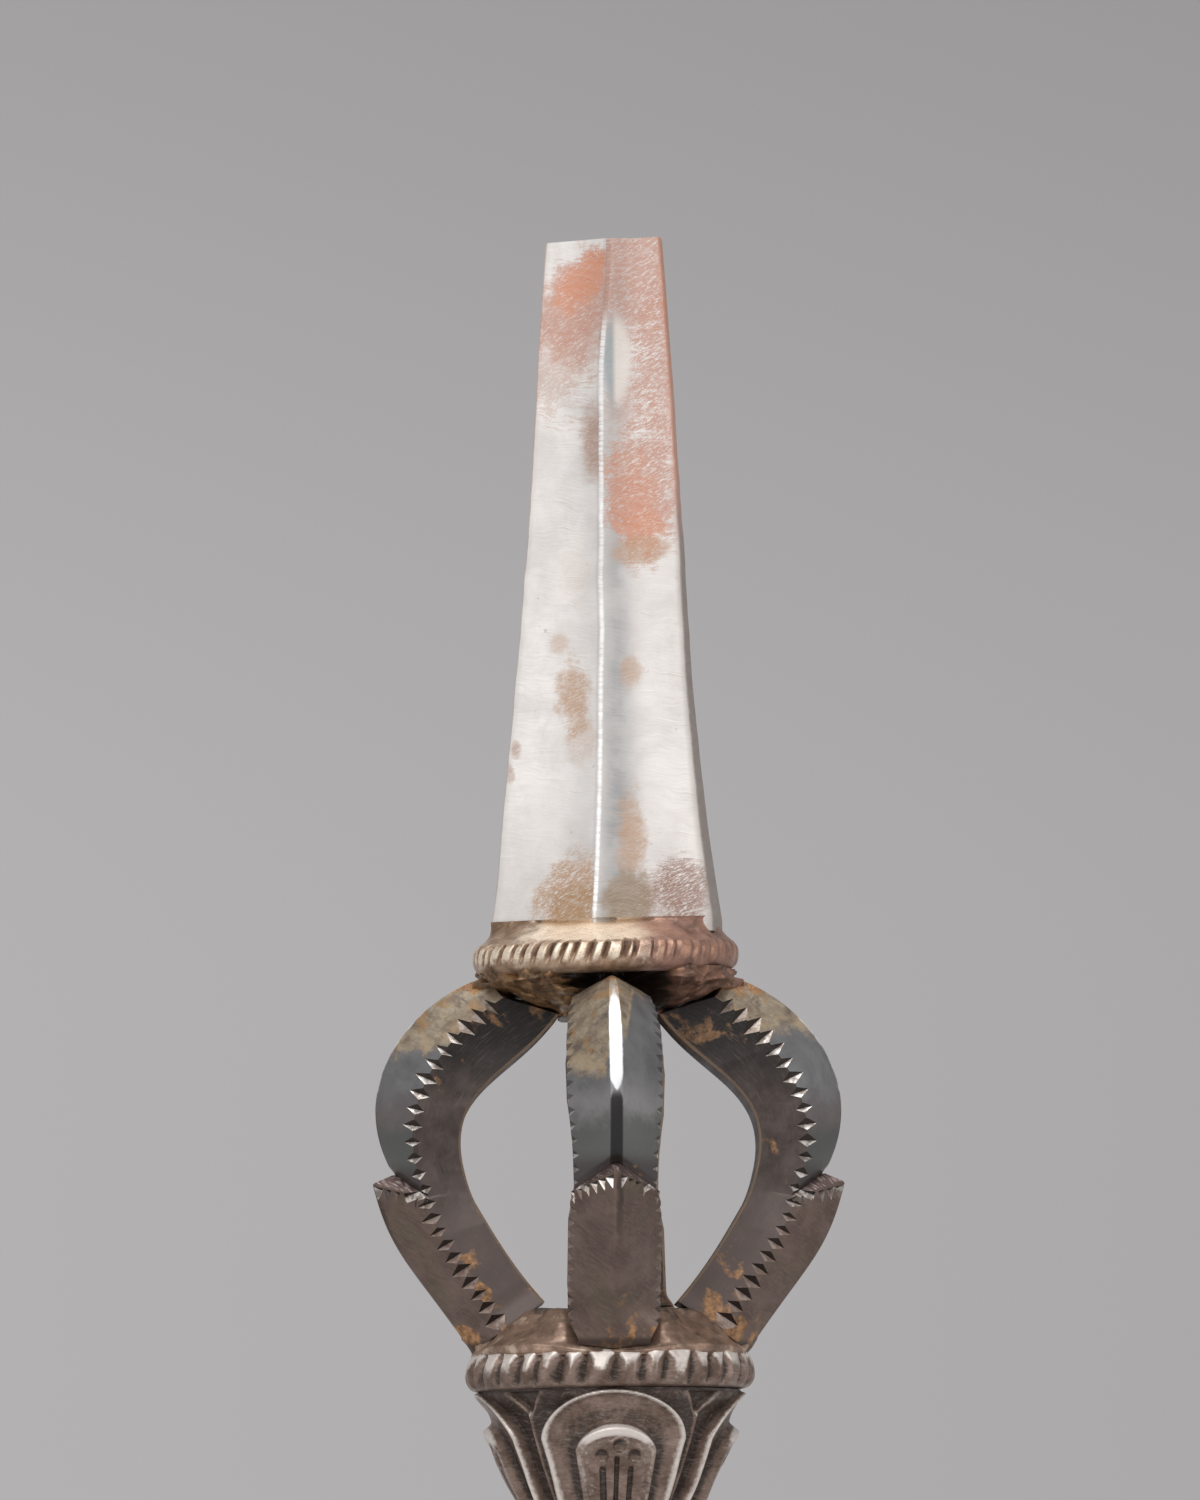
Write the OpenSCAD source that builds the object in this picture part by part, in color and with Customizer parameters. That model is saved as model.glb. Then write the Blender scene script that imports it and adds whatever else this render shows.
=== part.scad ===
// Kartika: a forged ritual flaying knife with a blade-shaped finial, a four-prong cage and a lotus grip.
// Frame: +Z runs up the handle, +X to the right, -Y to the front. The origin is the middle of the grip.
// Everything is in millimetres.

/* [Finial blade] */
// Length of the finial blade above its collar
finial_len = 68.3; // [50:0.1:85]
// Width of the blade at its cut-off tip
finial_tip_w = 11.4; // [8:0.1:14]
// Width that the blade's sides draw in towards, half way down
finial_middle_w = 15.3; // [12:0.1:18]
// Width of the blade where it meets the collar
finial_root_w = 22.4; // [18:0.1:22.6]
// Thickness of the flat edges at the tip
finial_tip_edge = 1.7; // [1:0.1:3]
// Thickness of the flat edges at the root
finial_root_edge = 5.6; // [3:0.1:7]
// Depth from ridge to ridge at the tip
finial_tip_depth = 4.0; // [3.2:0.1:6]
// Depth from ridge to ridge at the root
finial_root_depth = 15; // [9:0.1:17]
// How far the facets are hollowed below flat
facet_hollow = 0.45; // [0:0.05:0.8]
// How far the blade is turned on the handle
finial_turn = -10; // [-20:1:20]
// Radius of the tang under the blade, the middle prong of the cage
tang_r = 2.6; // [1.8:0.1:3.2]

/* [Collar under the blade] */
// Outer radius of the notched rim
collar_r = 13.35; // [12.8:0.05:15]
// Height of the whole collar
collar_h = 5.4; // [4.8:0.1:7]
// Height of the notched rim
collar_rim_h = 3; // [2.4:0.1:3.6]
// Radius of the flat top that the blade stands on
collar_top_r = 11.7; // [11.3:0.1:12.4]
// Number of notches round the rim
collar_notches = 38; // [24:1:48]

/* [Prong cage] */
// Height from the notched ring to the collar
cage_h = 38; // [32:0.5:46]
// Radius of the prongs' ridge at the belly
belly_r = 23.3; // [21:0.1:27]
// Width of a prong across its shoulders
prong_w = 9.4; // [7:0.1:10]
// Width of a prong at its tip
prong_tip_w = 7.7; // [6:0.1:8.4]
// Width of a prong just above its step
prong_neck_w = 8.1; // [6:0.1:9]
// Height of the stepped lower half of a prong
step_h = 18; // [15:0.5:22]
// How far the step stands out at the ridge
step_out = 2.1; // [1:0.1:3]
// Width of the flat land filed along a prong's ridge
land_w = 0.9; // [0.4:0.1:1.6]
// Depth of the chisel notches along the shoulders
notch_d = 0.75; // [0.3:0.05:1]
// Number of notches along the upper half of a shoulder
notches_hi = 16; // [8:1:20]
// Number of notches along the lower half of a shoulder
notches_lo = 12; // [8:1:16]
// How far the cage is turned on the handle
cage_turn = 2; // [-10:1:10]
// How far the back prong stands to the right of the middle, behind the front one
back_shift = 1.5; // [0:0.1:1.8]
// Height of the block that the prongs stand on
base_h = 5.2; // [4:0.1:7]
// Height of the block that the prong tips meet
cap_h = 4.2; // [3.2:0.1:6]

/* [Notched rings] */
// Outer radius of the ring at each end of the grip
ring_r = 14.45; // [14:0.05:16]
// Height of such a ring
ring_h = 3.5; // [3:0.1:4]
// Number of notches round a ring
ring_notches = 33; // [20:1:44]
// Depth of the notches in the rings and the collar
ring_notch_d = 0.7; // [0.3:0.05:1]

/* [Lotus cups] */
// Height of a lotus cup
lotus_h = 19.5; // [16:0.1:24]
// Radius of the cup at its wide end
lotus_r = 13.1; // [12.4:0.1:13.6]
// Radius of the cup at the waist
lotus_waist_r = 5.6; // [5:0.1:7]
// Half width of a large petal
petal_half_w = 7.1; // [5.5:0.1:7.6]
// Width of the raised rim round a petal
petal_rim_w = 0.8; // [0.5:0.05:1.2]
// Half width of the raised lobe inside a petal
lobe_half_w = 3.2; // [2.4:0.1:4]
// How far a lotus is turned on the handle
lotus_turn = 2; // [-10:1:10]

/* [Grip] */
// Radius of the round grip knob
knob_r = 11; // [9:0.1:13]
// Height of the grip knob
knob_h = 16.4; // [12:0.1:17]
// Height of the sleeve of three beads beside the knob
waist_h = 2.8; // [2.1:0.1:4]
// Radius of the rod that threads the handle together
rod_r = 3; // [2.4:0.1:3.4]
// Clearance between a rod or tang and its bore
rod_fit = 0.05; // [0.02:0.01:0.1]

/* [Bolster] */
// Height of the bolster
bolster_h = 22; // [18:0.5:26]
// Width of the bolster's jaws at their lower end
jaw_w = 27; // [24:0.5:32]
// Thickness over both jaws at their lower end
jaw_t = 11; // [9:0.5:14]
// How deep the blade's tab sits between the jaws
tab_depth = 10; // [7:0.5:12]
// Radius of the two rivets
rivet_r = 1.6; // [1:0.1:2]
// Distance between the two rivets
rivet_gap = 11; // [8:0.5:13]

/* [Crescent blade] */
// Radius of the convex cutting edge
edge_r = 70; // [62:0.5:80]
// Radius of the concave back
back_r = 72; // [68:0.5:84]
// Height of the blade from its back to its edge, at the middle
crescent_h = 38; // [32:0.5:44]
// Thickness of the blade
crescent_t = 4; // [3:0.1:5]
// How far each cheek of the tab steps in from the blade's cheek
tab_step = 0.4; // [0.2:0.05:0.6]
// Width of the bevel along the cutting edge
bevel_w = 11; // [6:0.5:14]
// Thickness left at the cutting edge
edge_t = 0.5; // [0.3:0.1:1]
// Width of the tab that goes up into the bolster
tab_w = 19; // [17:0.5:21]
// Outer radius of the hook at the right horn
hook_r = 11; // [9:0.5:13]
// Clearance between the tab and the jaws
tab_fit = 0.05; // [0.02:0.01:0.1]

/* [Hidden] */
$fn = 64;
// Sides of the larger round forms
round_sides = 96;

// Heights of the stack above and below the middle of the grip
z_waist = knob_h / 2;
z_lotus = z_waist + waist_h;
z_ring = z_lotus + lotus_h;
z_cage = z_ring + ring_h;
z_collar = z_cage + cage_h;
z_finial = z_collar + collar_h;
z_bolster = -z_cage;
z_jaws = z_bolster - bolster_h;
z_tab = z_jaws + tab_depth;
// The back of the crescent lies this far below the jaws at the middle
back_drop = 4;
z_back = z_jaws - back_drop;
// Tools reach this far past what they cut
past = 1;
steel = "slategray";
silver = "gainsboro";
bronze = "rosybrown";
brown = "dimgray";

function mix(a, b, t) = a + (b - a) * t;

// Point at t on the cubic curve with the four points p
function curve(p, t) =
    pow(1 - t, 3) * p[0] + 3 * pow(1 - t, 2) * t * p[1] + 3 * (1 - t) * t * t * p[2] + pow(t, 3) * p[3];

// Finial blade: a hexagonal section with hollowed facets, swept up the blade
finial_steps = 16;
facet_steps = 3;
// The ridge only swells in the lowest part of the blade
ridge_power = 5;
tip_crown = 0.8;

function finial_half_w(u) = curve([finial_tip_w, finial_middle_w, finial_middle_w, finial_root_w], u) / 2;
function finial_half_edge(u) = mix(finial_tip_edge, finial_root_edge, u * u) / 2;
function finial_half_depth(u) = mix(finial_tip_depth, finial_root_depth, pow(u, ridge_power)) / 2;

// Point across a facet, from the ridge at s = 0 to the edge at s = 1
function facet_point(u, s) = [
    s * finial_half_w(u),
    mix(finial_half_depth(u), finial_half_edge(u), s) - facet_hollow * 4 * s * (1 - s)];
function finial_z(u, x) =
    z_finial + finial_len * (1 - u) - (u == 0 ? tip_crown * pow(x / finial_half_w(0), 2) : 0);

// One ring of the blade at u, which is 0 at the tip and 1 at the root
function finial_ring(u) = let (
    steps = [for (i = [0:facet_steps]) i / facet_steps],
    back_right = [for (s = steps) facet_point(u, s)],
    quarter = len(back_right),
    front_right = [for (i = [quarter - 1:-1:0]) [back_right[i][0], -back_right[i][1]]],
    front_left = [for (i = [1:quarter - 1]) [-back_right[i][0], -back_right[i][1]]],
    back_left = [for (i = [quarter - 1:-1:1]) [-back_right[i][0], back_right[i][1]]])
    [for (p = concat(back_right, front_right, front_left, back_left)) [p[0], p[1], finial_z(u, p[0])]];

function middle(ring) = [for (k = [0:2]) ([for (p = ring) 1] * [for (p = ring) p[k]]) / len(ring)];

// Skins a list of rings of equal length, and closes both ends with a fan round the ring's middle
module skin(rings) {
    n = len(rings[0]);
    last = len(rings) - 1;
    points = concat([for (r = rings, p = r) p], [middle(rings[0]), middle(rings[last])]);
    first_mid = n * (last + 1);
    sides = [for (i = [0:last - 1], j = [0:n - 1]) let (k = (j + 1) % n)
        each [[i * n + k, i * n + j, (i + 1) * n + k], [(i + 1) * n + k, i * n + j, (i + 1) * n + j]]];
    ends = [for (j = [0:n - 1]) let (k = (j + 1) % n)
        each [[first_mid, j, k], [first_mid + 1, last * n + k, last * n + j]]];
    polyhedron(points = points, faces = concat(sides, ends), convexity = 8);
}

module finial_blade() {
    tang_len = z_finial - z_cage - tang_seat;
    color(silver) rotate([0, 0, finial_turn]) {
        skin([for (i = [0:finial_steps]) finial_ring(i / finial_steps)]);
        translate([0, 0, z_finial - tang_len]) cylinder(r = tang_r, h = tang_len);
    }
}

// The tang goes this far short of the cage's floor, where it meets the core rod
tang_seat = 1;

// Bore along the handle's axis from z_low to z_high, open at both ends
module bore(r, z_low, z_high) {
    translate([0, 0, z_low - past]) cylinder(r = r + rod_fit, h = z_high - z_low + 2 * past);
}

// The same bore, blind at z_high
module blind_bore(r, z_low, z_high) {
    translate([0, 0, z_low - past]) cylinder(r = r + rod_fit, h = z_high - z_low + past);
}

// V notches cut down the outside of a rim of radius r, deeper at their upper end
notch_lean = 8;
module rim_notches(r, h, count, depth) {
    side = depth * sqrt(2);
    for (i = [0:count - 1]) rotate([0, 0, 360 * i / count]) translate([r, 0, h / 2])
        rotate([0, -notch_lean, 0]) rotate([0, 0, 45]) cube([side, side, h + 2 * past], center = true);
}

// Round-nosed rim of height h and outer radius r, turned solid. The nose's radius is a share of the height.
nose_share = 0.56;
module rim(r, h) {
    nose = h * nose_share;
    rotate_extrude($fn = round_sides) intersection() {
        square([r, h]);
        union() {
            square([r - nose, h]);
            translate([r - nose, h / 2]) circle(r = nose);
        }
    }
}

module blade_collar() {
    under_h = collar_h - collar_rim_h - collar_flare_h;
    color(bronze) difference() {
        union() {
            translate([0, 0, z_collar])
                cylinder(r1 = cap_r, r2 = collar_r - rim_inset, h = under_h, $fn = round_sides);
            translate([0, 0, z_collar + under_h]) difference() {
                rim(collar_r, collar_rim_h);
                rim_notches(collar_r, collar_rim_h, collar_notches, ring_notch_d);
            }
            translate([0, 0, z_finial - collar_flare_h])
                cylinder(r1 = collar_r - rim_inset, r2 = collar_top_r, h = collar_flare_h, $fn = round_sides);
        }
        bore(tang_r, z_collar, z_finial);
    }
}

// Height of the collar's sloped top, and how far its rim's corners lie inside the rim
collar_flare_h = 1.7;
rim_inset = 0.6;

// Cage: each prong's section is a house shape whose ridge, shoulder and inside follow curves of
// [radius, height]. Its ends lie flat on the sloped flanks of the block above and the block below.
// How far the blocks' wide ends lie inside the collar and the ring
cap_inset = 0.8;
base_inset = 0.4;
// How far the blocks' narrow ends stand out past half a prong's width
cap_spare = 1.1;
base_spare = 1.9;
cap_r = collar_r - cap_inset;
cap_low_r = prong_tip_w / 2 + cap_spare;
base_low_r = ring_r - base_inset;
base_top_r = prong_w / 2 + base_spare;
// Share of a section's depth that is roof
roof_share = 0.4;
// Where the prongs' ridge meets the flanks, counted from the flank's outer end
ridge_seat = 0.05;

function cap_flank(t) = mix([cap_r, z_collar], [cap_low_r, z_collar - cap_h], t);
function base_flank(t) = mix([base_low_r, z_cage], [base_top_r, z_cage + base_h], t);
// Point beside the belly: how far out from its radius, and at what share of the cage's height
function belly_point(out, share) = [belly_r + out, z_cage + share * cage_h];

tip_ridge = cap_flank(ridge_seat);
tip_inside = cap_flank(1);
tip_shoulder = mix(tip_ridge, tip_inside, roof_share);
foot_ridge = base_flank(ridge_seat);
foot_inside = base_flank(1);
foot_shoulder = mix(foot_ridge, foot_inside, roof_share);

// The step: where the wider lower half begins, on the ridge, the shoulder and the inside
step_inset = 1.9;
barb_drop = 0.9;
shoulder_from_ridge = [-3.3, -2.3];
inside_from_ridge = [-7.5, -1.8];
// The lower half starts this far below the upper half's end on shoulder and inside
step_gap = [0, -0.3];
step_ridge = [belly_r - step_inset, z_cage + step_h];
barb = step_ridge + [step_out, -barb_drop];
shoulder_step = step_ridge + shoulder_from_ridge;
inside_step = step_ridge + inside_from_ridge;

// Handles that pull the lower curves out from the step and from the foot
barb_pull = [-1.7, -7.2];
ridge_foot_pull = [5.7, 8.5];
shoulder_pull = [-0.4, -4];
shoulder_foot_pull = [2.5, 4.4];
inside_pull = [-1.7, -3.1];
inside_foot_pull = [3.7, 4.1];

ridge_hi = [tip_ridge, belly_point(-3.9, 0.936), belly_point(3.4, 0.715), step_ridge];
shoulder_hi = [tip_shoulder, belly_point(-6.3, 0.842), belly_point(-0.9, 0.618), shoulder_step];
inside_hi = [tip_inside, belly_point(-13.7, 0.715), belly_point(-5.6, 0.702), inside_step];
ridge_lo = [barb, barb + barb_pull, foot_ridge + ridge_foot_pull, foot_ridge];
shoulder_lo = [shoulder_step + step_gap, shoulder_step + shoulder_pull, foot_shoulder + shoulder_foot_pull,
    foot_shoulder];
inside_lo = [inside_step + step_gap, inside_step + inside_pull, foot_inside + inside_foot_pull, foot_inside];

// A notch reaches this share up the roof, and this share down the side wall
notch_up = 0.26;
notch_down = 0.16;
// The prong has its full width between these shares of the way down its upper half
full_width_at = 0.35;
narrows_at = 0.6;

function half_w_hi(t) = t < narrows_at
    ? mix(prong_tip_w, prong_w, min(1, t / full_width_at)) / 2
    : mix(prong_w, prong_neck_w, (t - narrows_at) / (1 - narrows_at)) / 2;
function prong_point(p, x) = [x, -p[0], p[1]];

// Section of a prong: the ridge's land, then round by the left side, the flat inside and the right side
function prong_ring(ridge, shoulder, inside, half_w, cut) = let (
    roof = mix(ridge, shoulder, 1 - notch_up),
    wall = mix(shoulder, inside, notch_down),
    corner = cut > 0 ? mix(roof, wall, 0.5) : shoulder,
    roof_x = half_w * (1 - notch_up),
    corner_x = half_w - cut)
    [prong_point(ridge, -land_w / 2), prong_point(roof, -roof_x), prong_point(corner, -corner_x),
        prong_point(wall, -half_w), prong_point(inside, -half_w), prong_point(inside, half_w),
        prong_point(wall, half_w), prong_point(corner, corner_x), prong_point(roof, roof_x),
        prong_point(ridge, land_w / 2)];

// Every second ring is cut in at the shoulder, which leaves a row of notches
prong_rings = concat(
    [for (i = [0:2 * notches_hi]) let (t = i / (2 * notches_hi))
        prong_ring(curve(ridge_hi, t), curve(shoulder_hi, t), curve(inside_hi, t),
            half_w_hi(t), i % 2 * notch_d)],
    [for (i = [0:2 * notches_lo]) let (t = i / (2 * notches_lo))
        prong_ring(curve(ridge_lo, t), curve(shoulder_lo, t), curve(inside_lo, t),
            prong_w / 2, i % 2 * notch_d)]);

module prong(turn, shift = 0) {
    color(steel) rotate([0, 0, cage_turn + turn]) translate([shift, 0, 0]) skin(prong_rings);
}

// Four-sided block: a pyramid's flanks for the prongs, rounded off between them by a cone
corner_share = 1.05;
corner_spread = 1.2;
module flanked_block(low_r, top_r, h) {
    side_view = [[-low_r, 0], [low_r, 0], [top_r, h], [-top_r, h]];
    intersection() {
        rotate([90, 0, 0]) linear_extrude(4 * low_r, center = true) polygon(side_view);
        rotate([90, 0, 90]) linear_extrude(4 * low_r, center = true) polygon(side_view);
        cylinder(r1 = low_r * corner_share, r2 = top_r * corner_share + corner_spread, h = h,
            $fn = round_sides);
    }
}

// Where the brazing left a dark gap under the collar, above the front prong
gap_w = 8;
gap_h = 1.5;
gap_depth = 4;

module cage_cap() {
    color(bronze) difference() {
        translate([0, 0, z_collar]) rotate([0, 0, cage_turn]) mirror([0, 0, 1])
            flanked_block(cap_r, cap_low_r, cap_h);
        bore(tang_r, z_collar - cap_h, z_collar);
        rotate([0, 0, cage_turn]) translate([0, -cap_r, z_collar - gap_h / 2])
            cube([gap_w, 2 * gap_depth, gap_h], center = true);
    }
}

module cage_base() {
    color(brown) difference() {
        translate([0, 0, z_cage]) rotate([0, 0, cage_turn]) flanked_block(base_low_r, base_top_r, base_h);
        bore(tang_r, z_cage + tang_seat, z_cage + base_h);
        blind_bore(rod_r, z_cage, z_cage + tang_seat);
    }
}

module notched_ring() {
    difference() {
        rim(ring_r, ring_h);
        rim_notches(ring_r, ring_h, ring_notches, ring_notch_d);
        bore(rod_r, 0, ring_h);
    }
}

module cage_ring() {
    color(brown) translate([0, 0, z_ring]) notched_ring();
}

module bolster_ring() {
    color(brown) mirror([0, 0, 1]) translate([0, 0, z_ring]) notched_ring();
}

// Lotus cup, with its waist at 0 and its wide end at lotus_h
cup_steps = 10;
lobe_top = 3.9;
lobe_proud = 0.9;
ground_drop = 0.9;
rim_proud = 0.5;

// The petals' dished surface, as [radius, height] along the cup, with the handles of its curve
waist_inset = 0.4;
waist_out = 1.4;
waist_share = 0.34;
brim_in = 2.1;
brim_share = 0.56;
cup_curve = [[lotus_waist_r - waist_inset, 0], [lotus_waist_r + waist_out, lotus_h * waist_share],
    [lotus_r - brim_in, lotus_h * brim_share], [lotus_r, lotus_h]];
cup_points = [for (i = [0:cup_steps]) curve(cup_curve, i / cup_steps)];

// The cup turned solid, its surface moved out by grow
module cup(grow, h = lotus_h) {
    intersection() {
        rotate_extrude($fn = round_sides)
            polygon(concat([[0, 0]], [for (p = cup_points) [p[0] + grow, p[1]]], [[0, lotus_h]]));
        cylinder(r = lotus_r + 2 * past, h = h);
    }
}

// Petal outline: a round arch over straight sides that draw in toward the waist
arch_steps = 14;
foot_share = 0.42;
module petal_outline(half_w, top, arch_h) {
    foot_half_w = half_w * foot_share;
    spring = top - arch_h;
    polygon(concat(
        [for (i = [0:arch_steps]) let (a = 180 * i / arch_steps) [half_w * cos(a), spring + arch_h * sin(a)]],
        [[-foot_half_w, 0], [foot_half_w, 0]]));
}

// Stretches a flat outline from the axis out through the front of the cup
module outward() {
    rotate([90, 0, 0]) linear_extrude(lotus_r + 2 * past) children();
}

petal_arch_h = 4.9;
lobe_arch_h = 2.2;
// The petals end this far below the brim
petal_gap = 0.2;
module petal() {
    top = lotus_h - petal_gap;
    inner_half_w = petal_half_w - petal_rim_w;
    intersection() {
        cup(rim_proud);
        outward() difference() {
            petal_outline(petal_half_w, top, petal_arch_h);
            petal_outline(inner_half_w, top - petal_rim_w, petal_arch_h);
        }
    }
    intersection() {
        cup(0);
        outward() petal_outline(petal_half_w - petal_rim_w / 2, top - petal_rim_w / 2, petal_arch_h);
    }
    intersection() {
        cup(lobe_proud);
        outward() petal_outline(lobe_half_w, lotus_h - lobe_top, lobe_arch_h);
    }
}

// Small leaf between two petals, of which only the sunk triangle at the brim shows
leaf_half_w = 2.4;
leaf_h = 2.4;
leaf_sunk = 1.2;
leaf_lip = 0.4;
module leaf_cut() {
    leaf_top = leaf_h - leaf_lip;
    translate([0, -lotus_r + leaf_sunk, lotus_h - leaf_h])
        rotate([90, 0, 0]) linear_extrude(leaf_sunk + 2 * past)
            polygon([[0, 0], [leaf_half_w, leaf_top], [-leaf_half_w, leaf_top]]);
}

// Plain band under the brim, which the leaves are cut into
leaf_clear = 1;
brim_inset = 0.2;
brim_h = leaf_h + leaf_clear;
brim_r = lotus_r - brim_inset;
brim_flare = 1.4;

module lotus() {
    difference() {
        union() {
            cup(-ground_drop);
            translate([0, 0, lotus_h - brim_h])
                cylinder(r1 = brim_r - brim_flare, r2 = brim_r, h = brim_h, $fn = round_sides);
            for (a = [0:90:270]) rotate([0, 0, a]) petal();
        }
        for (a = [45:90:315]) rotate([0, 0, a]) leaf_cut();
        bore(rod_r, 0, lotus_h);
    }
}

module upper_lotus() {
    color(brown) translate([0, 0, z_lotus]) rotate([0, 0, lotus_turn]) lotus();
}

module lower_lotus() {
    color(brown) mirror([0, 0, 1]) translate([0, 0, z_lotus]) rotate([0, 0, lotus_turn]) lotus();
}

// Sleeve of three turned beads between the knob and a lotus
bead_count = 3;
module waist_rings() {
    bead_r = waist_h / bead_count / 2;
    difference() {
        rotate_extrude() {
            square([lotus_waist_r, waist_h]);
            for (i = [0:bead_count - 1]) translate([lotus_waist_r, bead_r * (2 * i + 1)]) circle(r = bead_r);
        }
        bore(rod_r, 0, waist_h);
    }
}

module upper_waist_rings() {
    color(bronze) translate([0, 0, z_waist]) waist_rings();
}

module lower_waist_rings() {
    color(bronze) mirror([0, 0, 1]) translate([0, 0, z_waist]) waist_rings();
}

// Round knob with a notched band round its middle
band_h = 3;
band_out = 0.6;
band_notches = ring_notches - 7;
module grip_knob() {
    color(brown) difference() {
        union() {
            intersection() {
                sphere(r = knob_r, $fn = round_sides);
                translate([0, 0, -knob_h / 2]) cylinder(r = knob_r + past, h = knob_h);
            }
            translate([0, 0, -band_h / 2]) difference() {
                rim(knob_r + band_out, band_h);
                rim_notches(knob_r + band_out, band_h, band_notches, ring_notch_d);
            }
        }
        bore(rod_r, -knob_h / 2, knob_h / 2);
    }
}

module core_rod() {
    color(steel) translate([0, 0, z_tab]) cylinder(r = rod_r, h = z_cage + tang_seat - z_tab);
}

// Bolster: a turned neck that spreads into two flat jaws
neck_r = 8.6;
neck_h = 6;
scoop_r = 5;
flange_inset = 1.2;
jaw_h = bolster_h - neck_h;
jaw_slope = (neck_r - jaw_t / 2) / jaw_h;
slot_t = crescent_t - 2 * tab_step + 2 * tab_fit;
module bolster() {
    bow = jaw_w;
    color(brown) difference() {
        union() {
            translate([0, 0, z_bolster - neck_h]) difference() {
                cylinder(r = ring_r - flange_inset, h = neck_h, $fn = round_sides);
                rotate_extrude($fn = round_sides) translate([neck_r + scoop_r, neck_h - scoop_r])
                    circle(r = scoop_r);
            }
            intersection() {
                translate([0, 0, z_jaws]) rotate([90, 0, 0])
                    linear_extrude(ring_r * 2, center = true) difference() {
                        translate([-jaw_w / 2, 0]) square([jaw_w, jaw_h]);
                        for (side = [-1, 1]) translate([side * (neck_r + bow), jaw_h]) circle(r = bow);
                    }
                translate([0, 0, z_jaws]) rotate([90, 0, 90]) linear_extrude(jaw_w * 2, center = true)
                    polygon([[-jaw_t / 2, 0], [jaw_t / 2, 0], [neck_r, jaw_h], [-neck_r, jaw_h]]);
            }
        }
        translate([-jaw_w, -slot_t / 2, z_jaws - past]) cube([2 * jaw_w, slot_t, tab_depth + past]);
        translate([0, 0, z_tab]) cylinder(r = rod_r + rod_fit, h = z_bolster - z_tab + past);
        rivet_holes();
    }
}

z_rivet = z_jaws + tab_depth / 2;
module rivet_holes() {
    for (side = [-1, 1]) translate([side * rivet_gap / 2, 0, z_rivet]) rotate([90, 0, 0])
        cylinder(r = rivet_r + rod_fit, h = 3 * jaw_t, center = true);
}

// The rivets' heads stand this far out of the jaws
rivet_proud = 0.6;
module bolster_rivets() {
    rivet_len = jaw_t + tab_depth * jaw_slope + 2 * rivet_proud;
    color(bronze) for (side = [-1, 1]) translate([side * rivet_gap / 2, 0, z_rivet]) rotate([90, 0, 0])
        cylinder(r = rivet_r, h = rivet_len, center = true);
}

// Crescent, drawn flat with the handle's axis at x = 0, then given its thickness and its bevel
z_edge_centre = z_back - crescent_h + edge_r;
z_back_centre = z_back + back_r;
back_centre = [0, z_back_centre];
edge_centre = [0, z_edge_centre];
// The hook's ring is tangent to the crescent's back, and its centre lies a share of its radius outside
// the cutting edge. Its hollow, a smaller circle, is tangent to the cutting edge.
hook_out_share = 0.68;
hook_hollow_share = 0.745;
hook_out = hook_r * hook_out_share;
hook_hollow_r = hook_r * hook_hollow_share;
hook_end_angle = -25;
// The ring runs on this far into the crescent's back
hook_overlap = 5;
centres_apart = z_back_centre - z_edge_centre;
hook_rise = (centres_apart * centres_apart + pow(edge_r + hook_out, 2) - pow(back_r + hook_r, 2))
    / (2 * centres_apart);
hook_centre = edge_centre + [sqrt(pow(edge_r + hook_out, 2) - hook_rise * hook_rise), hook_rise];
hook_angle = atan2(hook_centre[1] - back_centre[1], hook_centre[0]);
hollow_centre = edge_centre + (edge_r + hook_hollow_r) / (edge_r + hook_out) * (hook_centre - edge_centre);
fillet_r = 8;

// Part of the plane between two directions from the hook's centre
module hook_sector(from, to) {
    reach = 3 * hook_r;
    middle_angle = (from + to) / 2;
    polygon([for (p = [[0, 0], reach * [cos(from), sin(from)], reach * [cos(middle_angle), sin(middle_angle)],
        reach * [cos(to), sin(to)]]) hook_centre + p]);
}

module hook_outline() {
    intersection() {
        translate(hook_centre) circle(r = hook_r);
        hook_sector(hook_end_angle, 180 + hook_angle + hook_overlap);
    }
}

// The tab, with a round fillet on each side where it meets the crescent's back
module tab_outline() {
    translate([-tab_w / 2, z_back - fillet_r / 2]) square([tab_w, z_tab - z_back + fillet_r / 2]);
    difference() {
        translate([-tab_w / 2 - fillet_r, z_back - fillet_r]) square([tab_w + 2 * fillet_r, 2 * fillet_r]);
        for (side = [-1, 1]) translate([side * (tab_w / 2 + fillet_r), z_back + fillet_r])
            circle(r = fillet_r);
    }
}

module crescent_outline() {
    difference() {
        union() {
            difference() {
                translate(edge_centre) circle(r = edge_r);
                translate(back_centre) circle(r = back_r);
                hook_sector(90 + hook_angle, 180 + hook_angle);
            }
            hook_outline();
            tab_outline();
        }
        translate(hollow_centre) circle(r = hook_hollow_r);
    }
}

// The hook is forged this much thinner than the blade
hook_thinned = 1;
// The tab's shoulder lies this far below the jaws
shoulder_gap = 1;

// What the tab's cheeks step in by, cut away above its shoulder
module tab_cheeks() {
    reach = tab_w / 2 + fillet_r;
    for (side = [0, 1]) mirror([0, side, 0])
        translate([-reach, crescent_t / 2 - tab_step, z_jaws - shoulder_gap])
            cube([2 * reach, tab_step + past, tab_depth + shoulder_gap + past]);
}

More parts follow.
